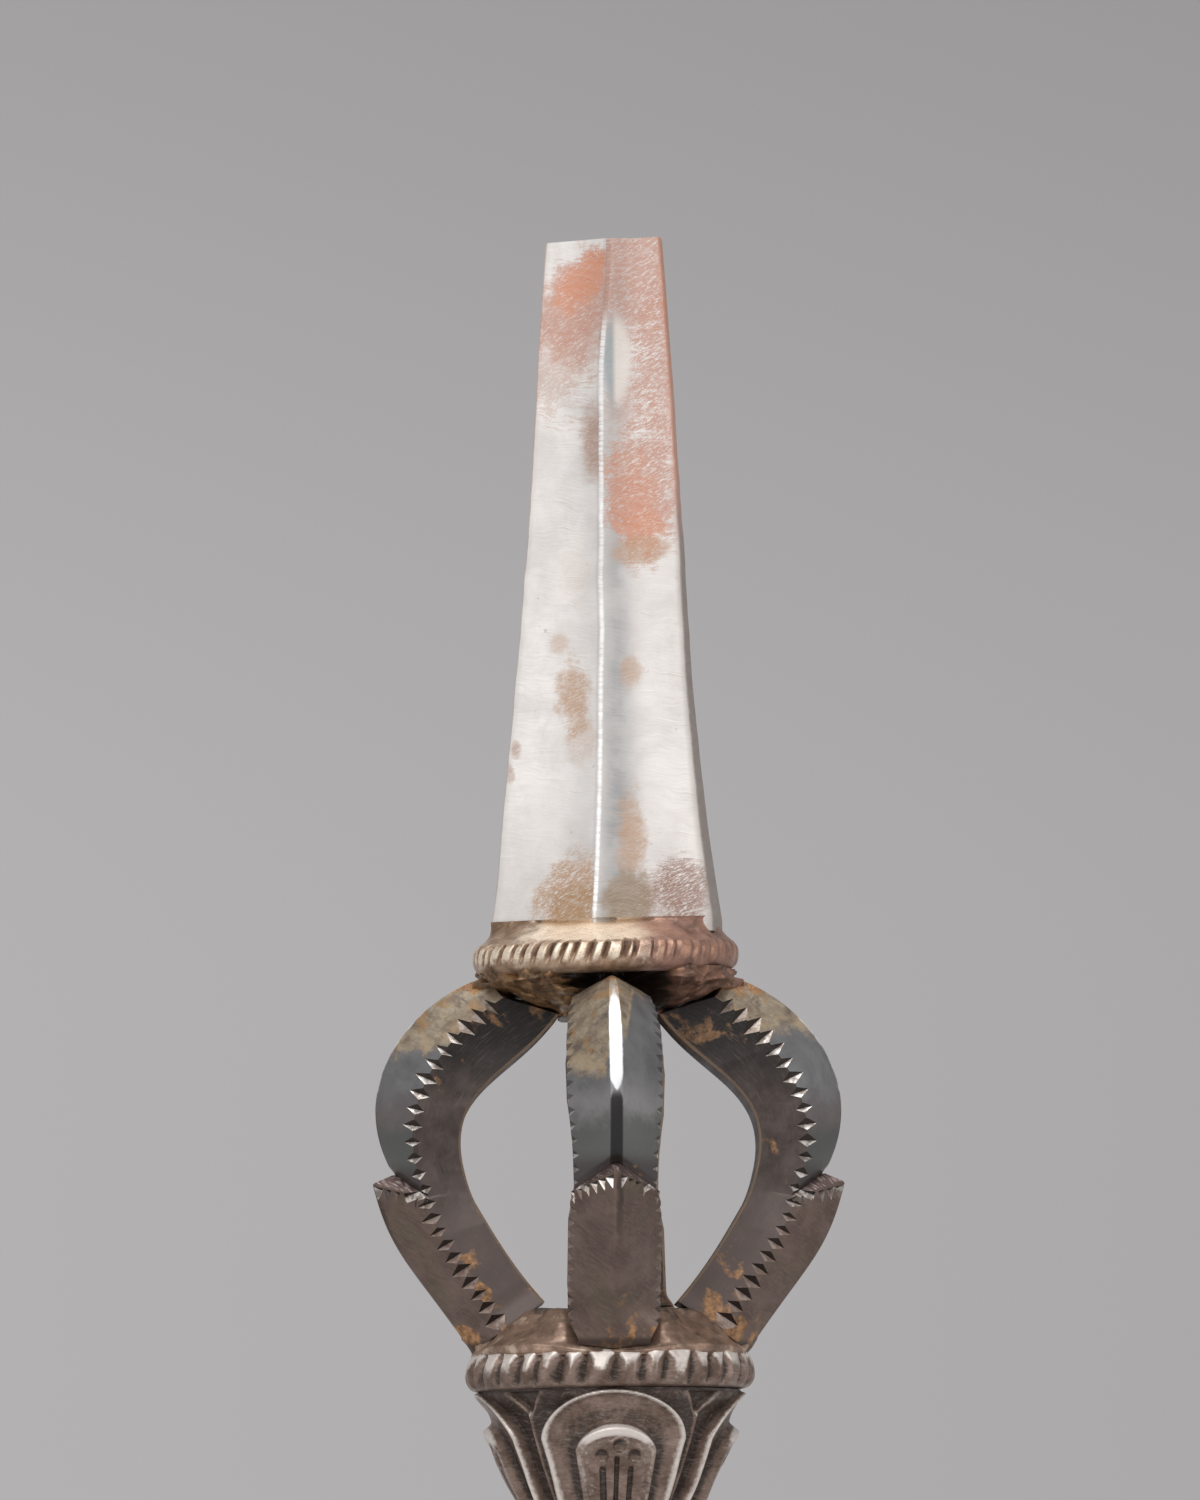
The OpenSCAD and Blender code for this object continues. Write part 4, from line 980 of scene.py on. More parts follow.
# The collar under the blade
def blade_collar():
    """Collar with a chiselled rim, brazed on a little askew."""
    radius = span("blade_collar")[1][0]
    widest, rim_top, top = 13.35, 3.0, 5.5
    corners = [[0.5, 0.15], [8.5, 0.15], [11.2, 0.0], [12.3, 0.12], [12.95, 0.5], [13.25, 1.05],
               [widest, 1.8], [13.25, 2.45], [12.85, rim_top], [12.4, 3.5], [12.0, 4.1], [11.7, 4.8],
               [11.5, 5.4], [11.3, top], [0.5, top]]
    profile = rounded(corners)
    profile[:, 1] += z_collar
    profile[:, 0] *= radius / widest

    def shape(r, z, angle):
        """Draws the flare in from the round rim to the outline of the blade's foot."""
        foot = foot_outline(angle) - 0.25
        lumps = 0.14 * np.sin(angle * 5 + 1.3) + 0.1 * np.sin(angle * 11 + z * 0.7)
        lumps = lumps + 0.06 * np.sin(angle * 23)
        front = np.maximum(0, -np.sin(angle)) ** 2
        share = np.clip((z - z_collar - rim_top) / (top - 0.3 * front - rim_top), 0, 1)
        drawn = mix(np.minimum(r, 12.9), foot, share) + lumps * 4 * share * (1 - share)
        wave = 0.08 * np.sin(angle * 3 + 1.0) + 0.05 * np.sin(angle * 7 + 2.0) - 0.05
        flared = np.where(share > 0, drawn, r) + wave * (1 - share)
        return np.where(r > 9, flared, r * np.ones_like(angle))

    points, faces = turned(profile, around=900, shape=shape)
    collar = make_mesh("blade_collar_brazed", points, faces, collar_finish, crease=60)
    run_tree(collar, RIM_NOTCHES, crease=60, Count=54.0, Depth=0.8 * MM, Half_Width=0.36,
             Top=(z_collar + 3.6) * MM, Foot=(z_collar + 0.6) * MM, Fade=1.6 * MM, Taper=0.8 * MM,
             Sharpness=1.1, Uneven=0.4, Slant=0.17, Worn_Side=0.8, Seed=3, Metal=collar_finish)
    relief_from_groove(collar, z_collar + 2.1, rubbed_and_lit=0.75, dirty_and_shaded=0.95)
    points = points_of(collar.data)
    # painted highlight: the front of the flare under the blade's foot gets a raised relief, which takes the
    # pale rubbed tone
    flare = np.exp(-((points[:, 0] + 0.6) / 5.2) ** 2) * ease(points[:, 2], z_collar + 3.0, z_collar + 3.8)
    relief = values_of(collar.data, "relief")
    streaks = 0.5 * bumpy(points * [0.5, 0.5, 2.2], 0.6, 3)
    set_values(collar.data, "relief", relief + (2.3 + streaks) * flare * (points[:, 1] < 0))
    lean_piece(collar.data, pitch=math.radians(2.6), roll=math.radians(-1.2), height=z_collar + 2.0,
               aside=-0.3)
    settle(collar, "brazed_bronze", "blade_collar")


def foot_outline(angle):
    """Distance from the blade's middle to the outline of its foot, in a direction."""
    half_w, half_depth, half_edge = 11.2, 7.5, 2.8
    turn = angle - blade_turn
    across, along = np.abs(np.cos(turn)), np.abs(np.sin(turn))
    facet = np.array([half_depth - half_edge, half_w])
    reach = facet[1] * half_depth
    return np.minimum(half_w / np.maximum(across, 1e-6), reach / (facet[0] * across + facet[1] * along))


def lean_piece(mesh, pitch, roll, height, aside):
    """Leans a turned piece forward by pitch and sideways by roll, about the point of the handle's axis
    at a height, and shifts it aside."""
    points = points_of(mesh)
    level = points[:, 2] - height
    y = points[:, 1] * math.cos(pitch) - level * math.sin(pitch)
    level = points[:, 1] * math.sin(pitch) + level * math.cos(pitch)
    x = points[:, 0] * math.cos(roll) + level * math.sin(roll)
    level = -points[:, 0] * math.sin(roll) + level * math.cos(roll)
    set_points(mesh, np.column_stack([x + aside, y, level + height]))


def relief_from_groove(piece, rim_z, rubbed_and_lit, dirty_and_shaded):
    """Relief for the wear: dark in the grooves, rubbed along the rim beside them."""
    mesh = piece.data
    groove = values_of(mesh, "groove")
    z = points_of(mesh)[:, 2]
    rim = np.exp(-((z - rim_z) / 1.3) ** 2)
    lumps = 0.35 * bumpy(points_of(mesh), 1.3, 2)
    set_values(mesh, "relief", rubbed_and_lit * rim * (1 - groove) + lumps - dirty_and_shaded * groove)


# The blocks that the prongs stand on and meet
def from_prong(angle):
    """Angle from the middle of the nearest prong."""
    quarter = math.pi / 2
    return (angle - cage_turn + quarter / 2) % quarter - quarter / 2


def four_sided(low_r, high_r, low_z, high_z, corner, roundness):
    """Shape of a block with four flanks whose corners are rounded, for turned."""
    def shape(r, z, angle):
        """Radius of the block, and r itself close to the axis."""
        flank = np.interp(z, [low_z, high_z], [low_r, high_r])
        turn = from_prong(angle)
        square = flank / np.cos(turn)
        limit = flank * corner + roundness
        soft = 0.6
        return -soft * np.logaddexp(-square / soft, -limit / soft) * (r > 0.9) + r * (r <= 0.9)
    return shape


def over_roof(angle, z, sides):
    """Radius of the prongs' roofs at an angle and a height, and how far inside a prong the angle lies.
    sides keeps to the prongs at the left and right."""
    upper, lower = prong_lines()
    t = np.linspace(0, 1, 200)
    curves = [bezier(p, t) for p in (upper[:2] if sides else lower[:2])]
    ridge, shoulder = (line_radius(line, z) for line in curves)
    turn = from_prong(angle)
    beside = ridge * np.abs(np.sin(turn))
    half_w = 4.3 if sides else 4.8
    roof = mix(ridge, shoulder, np.clip(beside / half_w, 0, 1))
    kept = 1 - ease(beside, half_w - 0.2, half_w + 1.5)
    if sides:
        kept = kept * (np.abs(np.cos(angle - cage_turn)) > 0.7)
    return roof / np.cos(turn), kept


def line_radius(line, z):
    """Radius of a curve of [radius, height] at a height."""
    order = np.argsort(line[:, 1])
    return np.interp(z, line[order, 1], line[order, 0])


def weld_beads(radius, angle, height, reach, half_w):
    """Beads of braze beside the four prongs: what they add to a block at a radius and an angle."""
    turn = from_prong(angle)
    beside = radius * np.abs(np.sin(turn)) - half_w
    return height * np.exp(-(beside / reach) ** 2)


def cage_cap():
    """Block under the collar, run over with lumps of braze, with a recessed gap above the front prong that
    is painted near black as shade.
    """
    low, high = span("cage_cap")
    rows = np.linspace(0, 1, 80)
    bottom, top = low[2] - 0.25, high[2] + 0.35
    flank = [[5.0, mix(bottom, top, u)] for u in rows]
    profile = [[0.5, bottom + 0.5], [3.0, bottom + 0.3]] + flank + [[0.5, top]]
    wide, narrow, bead_limit, limit = 12.4, 4.9, 12.75, 13.6
    block = four_sided(narrow, wide, low[2], high[2], corner=1.16, roundness=1.0)

    def shape(r, z, angle):
        """Draws beads of braze up beside the prongs, and braze over the side prongs' tips."""
        base = block(r, z, angle)
        bead = weld_beads(base, angle, height=1.3, reach=1.7, half_w=3.9) * ease(z, bottom, bottom + 2.2)
        lumped = np.minimum(base + bead, bead_limit)
        roof, kept = over_roof(angle, z, True)
        lumped = np.maximum(lumped, mix(lumped, roof + 0.3, kept * ease(z, low[2] + 1.6, low[2] + 3.0)))
        return np.where(r > 4, np.minimum(lumped, limit), r)

    points, faces = turned(profile, around=480, shape=shape)
    r = np.hypot(points[:, 0], points[:, 1])
    shift = points[:, 0] - 0.6 + 0.7 * bumpy(points, 1.1, 8)
    in_front = points[:, 1] < 0
    gap = np.exp(-(shift / 5.2) ** 6) * in_front * ease(points[:, 2], high[2] - 2.1, high[2] - 1.5)
    pit_x, pit_z = points[:, 0] - 4.7, points[:, 2] - high[2] + 1.9
    pit = np.exp(-((pit_x / 1.9) ** 4 + (pit_z / 1.7) ** 4)) * in_front
    gap = np.maximum(gap, pit)
    lump = 1 + 0.075 * bumpy(points, 2.4) + 0.035 * bumpy(points, 0.8, 2)
    grown = np.where(r > 3.5, np.minimum(lump, limit / np.maximum(r, 1)) * (1 - 0.55 * gap), 1)
    points[:, :2] *= grown[:, None]
    points[:, 2] += 0.25 * bumpy(points, 1.7, 5) * (r > 3.5) * (points[:, 2] < high[2] - 1)
    # painted shade: the gap and the pit get a strongly negative relief, near black in the finish
    relief = -3.0 * gap + 0.9 * bumpy(points, 1.5, 3) + 0.1
    cap = make_mesh("cage_cap_brazed", points, faces, cap_finish, crease=60, relief=relief)
    settle(cap, "brazed_bronze", "cage_cap")


def cage_base():
    """Block that the prongs stand on, drawn up round their feet."""
    low, high = span("cage_base")
    rows = np.linspace(0, 1, 90)
    crest = high[2] - 0.75
    flank = [[5.0, mix(low[2] - 0.3, crest, u)] for u in rows]
    profile = [[0.5, low[2] - 0.3]] + flank + [[3.0, crest], [0.5, crest]]
    wide, narrow = 14.0, 6.7
    block = four_sided(wide, narrow, low[2], high[2], corner=1.06, roundness=0.5)

    def shape(r, z, angle):
        """Draws the block up beside the prongs and over the side prongs' feet, and scoops its front."""
        base = block(r, z, angle)
        share = np.clip((z - low[2]) / (high[2] - low[2]), 0, 1)
        bead = weld_beads(base, angle, height=1.35, reach=2.0, half_w=4.6) * ease(share, 0.1, 0.6)
        hollow = 0.3 * np.sin(math.pi * share)
        widest = 14.05 - 0.25 * ease(low[2] + 0.1 - z, 0.0, 0.4)
        plate = np.minimum(base + bead - hollow, widest)
        roof, kept = over_roof(angle, z, False)
        faces_front = np.maximum(0, -np.sin(angle - cage_turn)) > 0.7
        kept = kept * (1 - ease(z, low[2] + 1.6, low[2] + 3.4)) * (1 - faces_front)
        skirt = mix(plate, roof + 0.3, kept)
        beside = plate * np.abs(np.cos(angle - cage_turn))
        scoop = faces_front * (1 - ease(beside, 2.6, 4.9)) * ease(z, low[2] + 0.55, low[2] + 0.95)
        scoop_depth, hidden_r = 1.9, 4
        return np.where(r > hidden_r, np.maximum(plate, skirt) - scoop_depth * scoop, r)

    points, faces = turned(profile, around=480, shape=shape)
    r = np.hypot(points[:, 0], points[:, 1])
    lump = np.where(r > 3.5, 1 + 0.02 * bumpy(points, 3.0) + 0.008 * bumpy(points, 0.9, 4) - 0.012, 1)
    points[:, :2] *= lump[:, None]
    angle = np.arctan2(points[:, 1], points[:, 0])
    corners = weld_beads(r, angle, height=1.0, reach=1.1, half_w=4.5)
    raised = 0.9 * corners * (1 - ease(r, 8.0, 9.6)) + 0.2 * bumpy(points, 1.2, 7)
    points[:, 2] += raised * ease(points[:, 2], crest - 1.6, crest) * (r > 3.5)
    foot_edge = np.exp(-((points[:, 2] - low[2] - 0.4) / 0.6) ** 2)
    hammered = 0.35 * foot_edge + 0.7 * bumpy(points, 1.6, 6)
    drawn_up = 0.3 * bumpy(points * [1, 1, 0.4], 0.5, 9)
    relief = hammered + drawn_up - 0.3 * ease(points[:, 2], low[2] + 2, high[2])
    base = make_mesh("cage_base_forged", points, faces, base_finish, crease=60, relief=relief)
    settle(base, "brown_iron", "cage_base")


def notched_ring(node, up):
    """The ring at one end of the grip, its notches opening towards the cage or the bolster."""
    low, high = span(node)
    height, radius = high[2] - low[2], high[0]
    corners = [[0.5, 0], [11.8, 0], [radius - 1.4, 0.0], [radius - 0.6, 0.25], [radius - 0.12, 0.9],
               [radius, 1.6], [radius - 0.1, 2.35], [radius - 0.45, 3.0], [radius - 1.0, height - 0.06],
               [radius - 2.0, height], [11.0, height], [0.5, height]]
    points, faces = turned(rounded(corners), around=900)
    points[:, 2] += z_ring
    ring = make_mesh(node + "_chiselled", points, faces, iron_finish, crease=60)
    run_tree(ring, RIM_NOTCHES, crease=60, Count=33.0, Depth=0.9 * MM, Half_Width=0.48,
             Top=(z_ring + height + 0.3) * MM, Foot=(z_ring - 0.2) * MM, Fade=1.3 * MM, Taper=1.2 * MM,
             Sharpness=1.25, Uneven=0.34, Slant=0.08, Seed=9, Metal=iron_finish)
    relief_from_groove(ring, z_ring + 2.9, rubbed_and_lit=0.8, dirty_and_shaded=0.95)
    points = points_of(ring.data)
    cut_crest = 0.3 - 0.75 * values_of(ring.data, "groove") + 0.12 * bumpy(points, 0.9, 2)
    at_rim = ease(np.hypot(points[:, 0], points[:, 1]), 10.5, 12.5)
    points[:, 2] += cut_crest * ease(points[:, 2], z_ring + 2.2, z_ring + 3.4) * at_rim
    set_points(ring.data, points)
    if up:
        lean_piece(ring.data, pitch=0.0, roll=math.radians(-0.6), height=z_ring + 1.7, aside=0.0)
    else:
        flip(ring.data)
    settle(ring, "brown_iron", node)


def flip(mesh):
    """Turns a mesh upside down about the grip's middle, and its faces outward again."""
    points = points_of(mesh)
    points[:, 2] *= -1
    set_points(mesh, points)
    mesh.flip_normals()


# The prongs of the cage
def prong_lines():
    """Ridge, shoulder and inside of a prong's upper and lower half, as curves of [radius, height]."""
    cage_h = z_collar - z_cage
    belly = 23.3
    cap_wide, cap_narrow, cap_h = 12.55, 4.95, 4.2
    base_wide, base_narrow, base_h = 14.05, 6.6, 5.2
    seat, roof = 0.05, 0.4

    def cap_flank(t):
        """Point on the cap's flank, t of the way down it."""
        return np.array([mix(cap_wide, cap_narrow, t), z_collar - cap_h * t])

    def base_flank(t):
        """Point on the base's flank, t of the way up it."""
        return np.array([mix(base_wide, base_narrow, t), z_cage + base_h * t])

    def beside_belly(out, share):
        """Point beyond the cage's widest radius, at a share of its height."""
        return np.array([belly + out, z_cage + share * cage_h])

    tips = [cap_flank(seat), mix(cap_flank(seat), cap_flank(1), roof), cap_flank(1)]
    feet = [base_flank(seat), mix(base_flank(seat), base_flank(1), roof), base_flank(1)]
    step = np.array([belly - 1.9, z_cage + 18])
    barb = step + [2.1, -0.9]
    steps = [step, step + [-3.3, -2.3], step + [-7.5, -1.8]]
    starts = [barb, steps[1] + [0, -0.3], steps[2] + [0, -0.3]]
    upper = [[tips[0], beside_belly(-3.9, 0.936), beside_belly(3.4, 0.715), steps[0]],
             [tips[1], beside_belly(-6.3, 0.842), beside_belly(-0.9, 0.618), steps[1]],
             [tips[2], beside_belly(-13.7, 0.715), beside_belly(-5.6, 0.702), steps[2]]]
    lower = [[starts[0], barb + [-1.7, -7.2], feet[0] + [5.7, 8.5], feet[0]],
             [starts[1], steps[1] + [-0.4, -4], feet[1] + [2.5, 4.4], feet[1]],
             [starts[2], steps[2] + [-1.7, -3.1], feet[2] + [3.7, 4.1], feet[2]]]
    return upper, lower


# Points from a prong's ridge to its shoulder, and all round its section
ROOF_STEPS = 10
PRONG_AROUND = 2 * (ROOF_STEPS + 8)
# Sections of its upper and lower half, and where those of the ledge between the halves stand
UPPER_ROWS, LOWER_ROWS = 130, 90
LEDGE = (0.08, 0.5, 0.9)


def prong_section(ridge, shoulder, inside, half_w, inner_w, land):
    """Ring of a prong's section, as x across it and a radius and height from the handle's axis.
    It starts at the middle of the ridge, and goes by its land, the roof, the side wall and the flat
    inside, and back round the other side."""
    q = np.linspace(0, 1, ROOF_STEPS + 1)[1:]
    crown = 0.16 * 4 * q * (1 - q)
    out = np.array([0.75, 0.25])
    roof = mix(ridge, shoulder, q[:, None]) + crown[:, None] * out
    roof_x = mix(land, half_w, q)
    w = np.array([0.25, 0.5, 0.75, 0.95])
    wall = mix(shoulder, inside, w[:, None])
    wall_x = mix(half_w, inner_w, ease(w, 0.0, 0.5)) - 0.08 * 4 * w * (1 - w)
    right = np.column_stack([np.concatenate([[land], roof_x, wall_x, [inner_w - 0.3, inner_w * 0.5, 0]]),
                             np.concatenate([[ridge], roof, wall, [inside, inside, inside]])])
    left = right[-2::-1] * [-1, 1, 1]
    middle = np.array([[0, ridge[0] + 0.03, ridge[1]]])
    return np.concatenate([middle, right, left])


def prong_halves(front_drop, flat_foot):
    """Upper and lower half of a prong, each as shares of the way down, its lines and its half widths."""
    upper, lower = prong_lines()
    t_hi = np.linspace(0, 1, UPPER_ROWS)
    t_lo = np.linspace(0, 1, LOWER_ROWS)
    lines_hi = [bezier(p, t_hi) for p in upper]
    lines_lo = [bezier(p, t_lo) for p in lower]
    lines_lo[1] += (lines_lo[0] - lines_lo[1]) * (flat_foot * ease(t_lo, 0.78, 1.0))[:, None]
    gable = 0.055 * (1 - ease(t_hi, 0.0, 0.2))
    lines_hi[1] = bezier(upper[1], t_hi + gable)
    inner = smoothed(np.concatenate([lines_hi[2], lines_lo[2]]), reach=9)
    lines_hi[2], lines_lo[2] = inner[:UPPER_ROWS], inner[UPPER_ROWS:]
    drop = front_drop * (1 - ease(t_hi, 0.0, 0.14))
    lines_hi[0][:, 1] -= drop
    lines_hi[1][:, 1] -= drop * 0.6
    half_hi = np.interp(t_hi, [0, 0.12, 0.35, 0.62, 0.85, 1], [3.9, 4.2, 4.7, 4.7, 4.2, 4.05])
    half_lo = np.interp(t_lo, [0, 0.3, 0.8, 1.0], [4.38, 4.62, 4.6, 4.55])
    return (t_hi, lines_hi, half_hi), (t_lo, lines_lo, half_lo)


def prong_rings(upper, lower, flat_foot):
    """Sections of a prong, from its tip down over the ledge to its foot."""
    t_hi, lines_hi, half_hi = upper
    t_lo, lines_lo, half_lo = lower
    inner_hi = half_hi - 0.08
    inner_lo = np.interp(t_lo, [0, 0.3, 0.8, 1.0], [inner_hi[-1], 4.5, 4.5, 4.5])
    land_hi = np.interp(t_hi, [0, 0.08, 0.22, 0.5, 0.75, 0.96, 1], [0.12, 0.2, 0.45, 0.62, 0.6, 0.55, 0.4])
    land_ledge, land_lo = 0.3, 0.34
    rings = []
    for i, t in enumerate(t_hi):
        dip = 0.16 * ease(t, 0.965, 0.99)
        ridge, shoulder, inside = (line[i] for line in lines_hi)
        rings.append(prong_section(ridge - [dip, 0], shoulder - [dip * 0.5, 0], inside,
                                   half_hi[i] - dip * 0.4, inner_hi[i], land_hi[i]))
    ends = [line[-1] for line in lines_hi]
    starts = [line[0] for line in lines_lo]
    for out in LEDGE:
        ridge, shoulder, inside = (mix(ends[k], starts[k], out) for k in range(3))
        rings.append(prong_section(ridge + [0, 0.1], shoulder + [0, 0.04], inside,
                                   mix(half_hi[-1], half_lo[0], out), inner_hi[-1], land_ledge))
    for i, t in enumerate(t_lo):
        ridge, shoulder, inside = (line[i] for line in lines_lo)
        flare = mix(0.7, -1.5, flat_foot) * ease(t, 0.84, 1.0) ** 2
        rings.append(prong_section(ridge, shoulder, inside, half_lo[i] + flare, inner_lo[i] + flare,
                                   land_lo))
    return np.array(rings)


def nick_prong(prong, upper, lower, shift, angle, cut, seed, finish):
    """Cuts the nicks along both shoulders of a prong, and the dints under its chevron."""
    t_hi, lines_hi, half_hi = upper
    t_lo, lines_lo, half_lo = lower
    sizes_hi = 1.15 - 0.2 * ease(t_hi, 0.12, 0.4)
    sizes_lo = 0.92 + 0.18 * ease(t_lo, 0.1, 0.6)
    pitch_hi, pitch_lo = (1.6, 1.42) if cut == 1.0 else (1.35, 1.2)
    for lines, half, sizes, first, last, pitch, salt in (
            (lines_hi, half_hi, sizes_hi, 0.07, 0.97, pitch_hi, 11),
            (lines_lo, half_lo, sizes_lo, 0.04, 0.92, pitch_lo, 23)):
        guide = shoulder_guide(lines, half, sizes, first, last, shift, angle)
        cut_nicks(prong, guide, nick_wedge, pitch, height=mix(0.9, 1.5, cut), depth=0.56 * cut, across=5.0,
                  seed=salt + seed, finish=finish)
    guide = chevron_guide(lines_lo, half_lo, shift, angle)
    cut_nicks(prong, guide, nick_dint, pitch=1.2, height=1.25, depth=0.36, across=1.4, seed=5 + seed,
              finish=finish)


def make_prong(node, turn, shift, finish, front_drop=0.0, cut=1.0, flat_foot=0.0):
    """One prong of the cage, forged with its stepped lower half in one piece, and nicked with a chisel.
    Its ridge bends down at the tip by front_drop. cut is how large the nicks of its shoulders are, and
    flat_foot how far its foot is flattened and drawn in."""
    upper, lower = prong_halves(front_drop, flat_foot)
    rings = prong_rings(upper, lower, flat_foot)
    placed = np.stack([rings[..., 0] + shift, -rings[..., 1], rings[..., 2]], -1)
    angle = cage_turn + math.radians(turn)
    points, faces = capped(about_z(placed, angle))
    prong = make_mesh(node + "_filed", points, faces, None, crease=30)
    plain = BVHTree.FromPolygons([Vector(v.co) for v in prong.data.vertices],
                                 [list(f.vertices) for f in prong.data.polygons])
    nick_prong(prong, upper, lower, shift, angle, cut, turn, finish)
    mark_prong(prong.data, plain, angle, [upper[1][1], lower[1][1]], shift)
    settle(prong, "prong_steel", node)


def smoothed(line, reach):
    """Line of points with each point drawn to the mean of those within reach, but for its ends."""
    out = line.copy()
    for i in range(1, len(line) - 1):
        near = min(reach, i, len(line) - 1 - i)
        out[i] = line[i - near:i + near + 1].mean(0)
    return out


def cut_nicks(prong, guide, tool, pitch, height, depth, across, seed, finish):
    """Cuts a row of nicks along a guide. Sizes are in millimetres."""
    run_tree(prong, NICKS, crease=30, Guide=guide, Cutter=tool, Pitch=pitch * MM, Nick_Height=height * MM,
             Nick_Depth=depth * MM, Across=across * MM, Uneven=0.22, Seed=seed, Metal=finish)
    bpy.data.objects.remove(guide)


def roof_normals(lines, half, side):
    """Outward direction of a prong's roof along one side, before the prong is turned into its place."""
    ridge, shoulder = lines[:2]
    fall = np.gradient(shoulder, axis=0)
    along = np.stack([0 * fall[:, 0], -fall[:, 0], fall[:, 1]], -1)
    across = np.stack([side * half, ridge[:, 0] - shoulder[:, 0], shoulder[:, 1] - ridge[:, 1]], -1)
    normal = np.cross(across, along)
    normal *= np.sign(normal[:, :1] * side)
    return normal / np.linalg.norm(normal, axis=1)[:, None]


def guide_mesh(strips, shift, angle):
    """Lines of points for nicks to follow. Each strip holds its points, outward directions and sizes."""
    points, directions, sizes, edges = [], [], [], []
    for place, outward, size in strips:
        start = len(points)
        points += list(place + [shift, 0, 0])
        directions += list(outward / np.linalg.norm(outward, axis=1)[:, None])
        sizes += list(size)
        edges += [(start + i, start + i + 1) for i in range(len(place) - 1)]
    mesh = bpy.data.meshes.new("guide")
    mesh.from_pydata((about_z(points, angle) * MM).tolist(), edges, [])
    layer = mesh.attributes.new("outward", "FLOAT_VECTOR", "POINT")
    layer.data.foreach_set("vector", about_z(directions, angle).astype(np.float32).ravel())
    set_values(mesh, "size", sizes)
    guide = bpy.data.objects.new("guide", mesh)
    bpy.context.scene.collection.objects.link(guide)
    return guide


def shoulder_guide(lines, half, sizes, first, last, shift, angle):
    """Guide along a prong's two shoulders. Each nick faces midway between the roof and the side wall."""
    shoulder = lines[1]
    keep = slice(int(first * len(shoulder)), int(last * len(shoulder)))
    strips = []
    for side in (-1, 1):
        place = np.stack([side * half, -shoulder[:, 0], shoulder[:, 1]], -1)
        outward = roof_normals(lines, half, side) + [side, 0, 0]
        strips.append((place[keep], outward[keep], sizes[keep]))
    return guide_mesh(strips, shift, angle)


def chevron_guide(lines, half, shift, angle):
    """Guide under the chevron edge of the lower half, from each shoulder up to the ridge."""
    row = 3
    ridge, shoulder = lines[0][row], lines[1][row]
    strips = []
    for side in (-1, 1):
        share = np.linspace(0.95, 0.07, 24)[::-side]
        normal = roof_normals(lines, half, side)[row]
        radius = mix(ridge[0], shoulder[0], share)
        height = mix(ridge[1], shoulder[1], share)
        place = np.stack([side * mix(0.3, half[row], share), -radius, height], -1)
        lift = 0.12 * 4 * share * (1 - share)
        strips.append((place + normal * lift[:, None], np.repeat(normal[None], len(share), 0),
                       1.3 - 0.45 * share - 0.15 * (side > 0)))
    return guide_mesh(strips, shift, angle)


def mark_prong(mesh, plain, angle, shoulders, shift):
    """Stores what each face of a prong is, and how far along and out from the shoulder each point lies.
    plain is the prong as it was before its nicks were cut."""
    rows_hi, rows_ledge = UPPER_ROWS, len(LEDGE)
    count = len(mesh.polygons)
    normals = np.zeros(count * 3, np.float32)
    mesh.polygons.foreach_get("normal", normals)
    normals = normals.reshape(-1, 3)
    centres = np.zeros(count * 3, np.float32)
    mesh.polygons.foreach_get("center", centres)
    reach = 0.03 * MM  # a face that lies farther than this from the plain prong was cut by a tool
    fresh = np.zeros(count)
    nearest = np.zeros(count, int)
    for i, centre in enumerate(centres.reshape(-1, 3)):
        _, _, index, away = plain.find_nearest(Vector(centre))
        fresh[i] = away > reach
        nearest[i] = index
    row, column = nearest // PRONG_AROUND, nearest % PRONG_AROUND
    mirrored = np.minimum(column, PRONG_AROUND - 1 - column)
    uncut = 1 - fresh
    is_wall = mirrored > ROOF_STEPS
    is_ledge = (row >= rows_hi - 1) & (row < rows_hi + rows_ledge - 1)
    is_lower = row >= rows_hi + rows_ledge - 1
    set_values(mesh, "wall", is_wall * uncut, "FACE")
    set_values(mesh, "rim", (mirrored == ROOF_STEPS + 5) * uncut, "FACE")
    set_values(mesh, "lower", is_lower * 1.0, "FACE")
    set_values(mesh, "ledge", is_ledge * (mirrored <= ROOF_STEPS) * uncut, "FACE")
    # faces of the roof just above the step, which get painted shade
    at_step = (row >= rows_hi - 5) & (row <= rows_hi - 1) & (mirrored <= ROOF_STEPS)
    set_values(mesh, "step_shade", at_step * uncut, "FACE")
    set_values(mesh, "nick", fresh, "FACE")
    under_chevron = (is_lower | is_ledge) * (mirrored < ROOF_STEPS - 1) * (row < rows_hi + rows_ledge + 12)
    set_values(mesh, "dint", fresh * under_chevron, "FACE")
    # lit: how much painted light a face gets, by how far it faces up
    set_values(mesh, "lit", ease(normals[:, 2], -0.1, 0.25), "FACE")
    local = about_z(points_of(mesh), -angle) - [shift, 0, 0]
    set_values(mesh, "across", local[:, 0])
    flat = np.stack([-local[:, 1], local[:, 2]], -1)
    line = np.concatenate(shoulders)
    steps = np.linalg.norm(np.diff(line, axis=0), axis=1)
    travelled = np.concatenate([[0], np.cumsum(steps)])
    fall = np.gradient(line, axis=0)
    fall /= np.linalg.norm(fall, axis=1)[:, None]
    near = np.argmin(((flat[:, None, :] - line[None]) ** 2).sum(-1), axis=1)
    away = flat - line[near]
    set_values(mesh, "along", travelled[near] + (away * fall[near]).sum(1))
    set_values(mesh, "out", away[:, 0] * fall[near, 1] - away[:, 1] * fall[near, 0])


# The lotus cups
def cup_radius(z, height):
    """Radius of a petal's dished surface at a height above the waist."""
    handles = [[5.2, 0], [7.0, 0.34 * height], [11.0, 0.56 * height], [13.1, height]]
    line = bezier(handles, np.linspace(0, 1, 200))
    return np.interp(z, line[:, 1], line[:, 0])


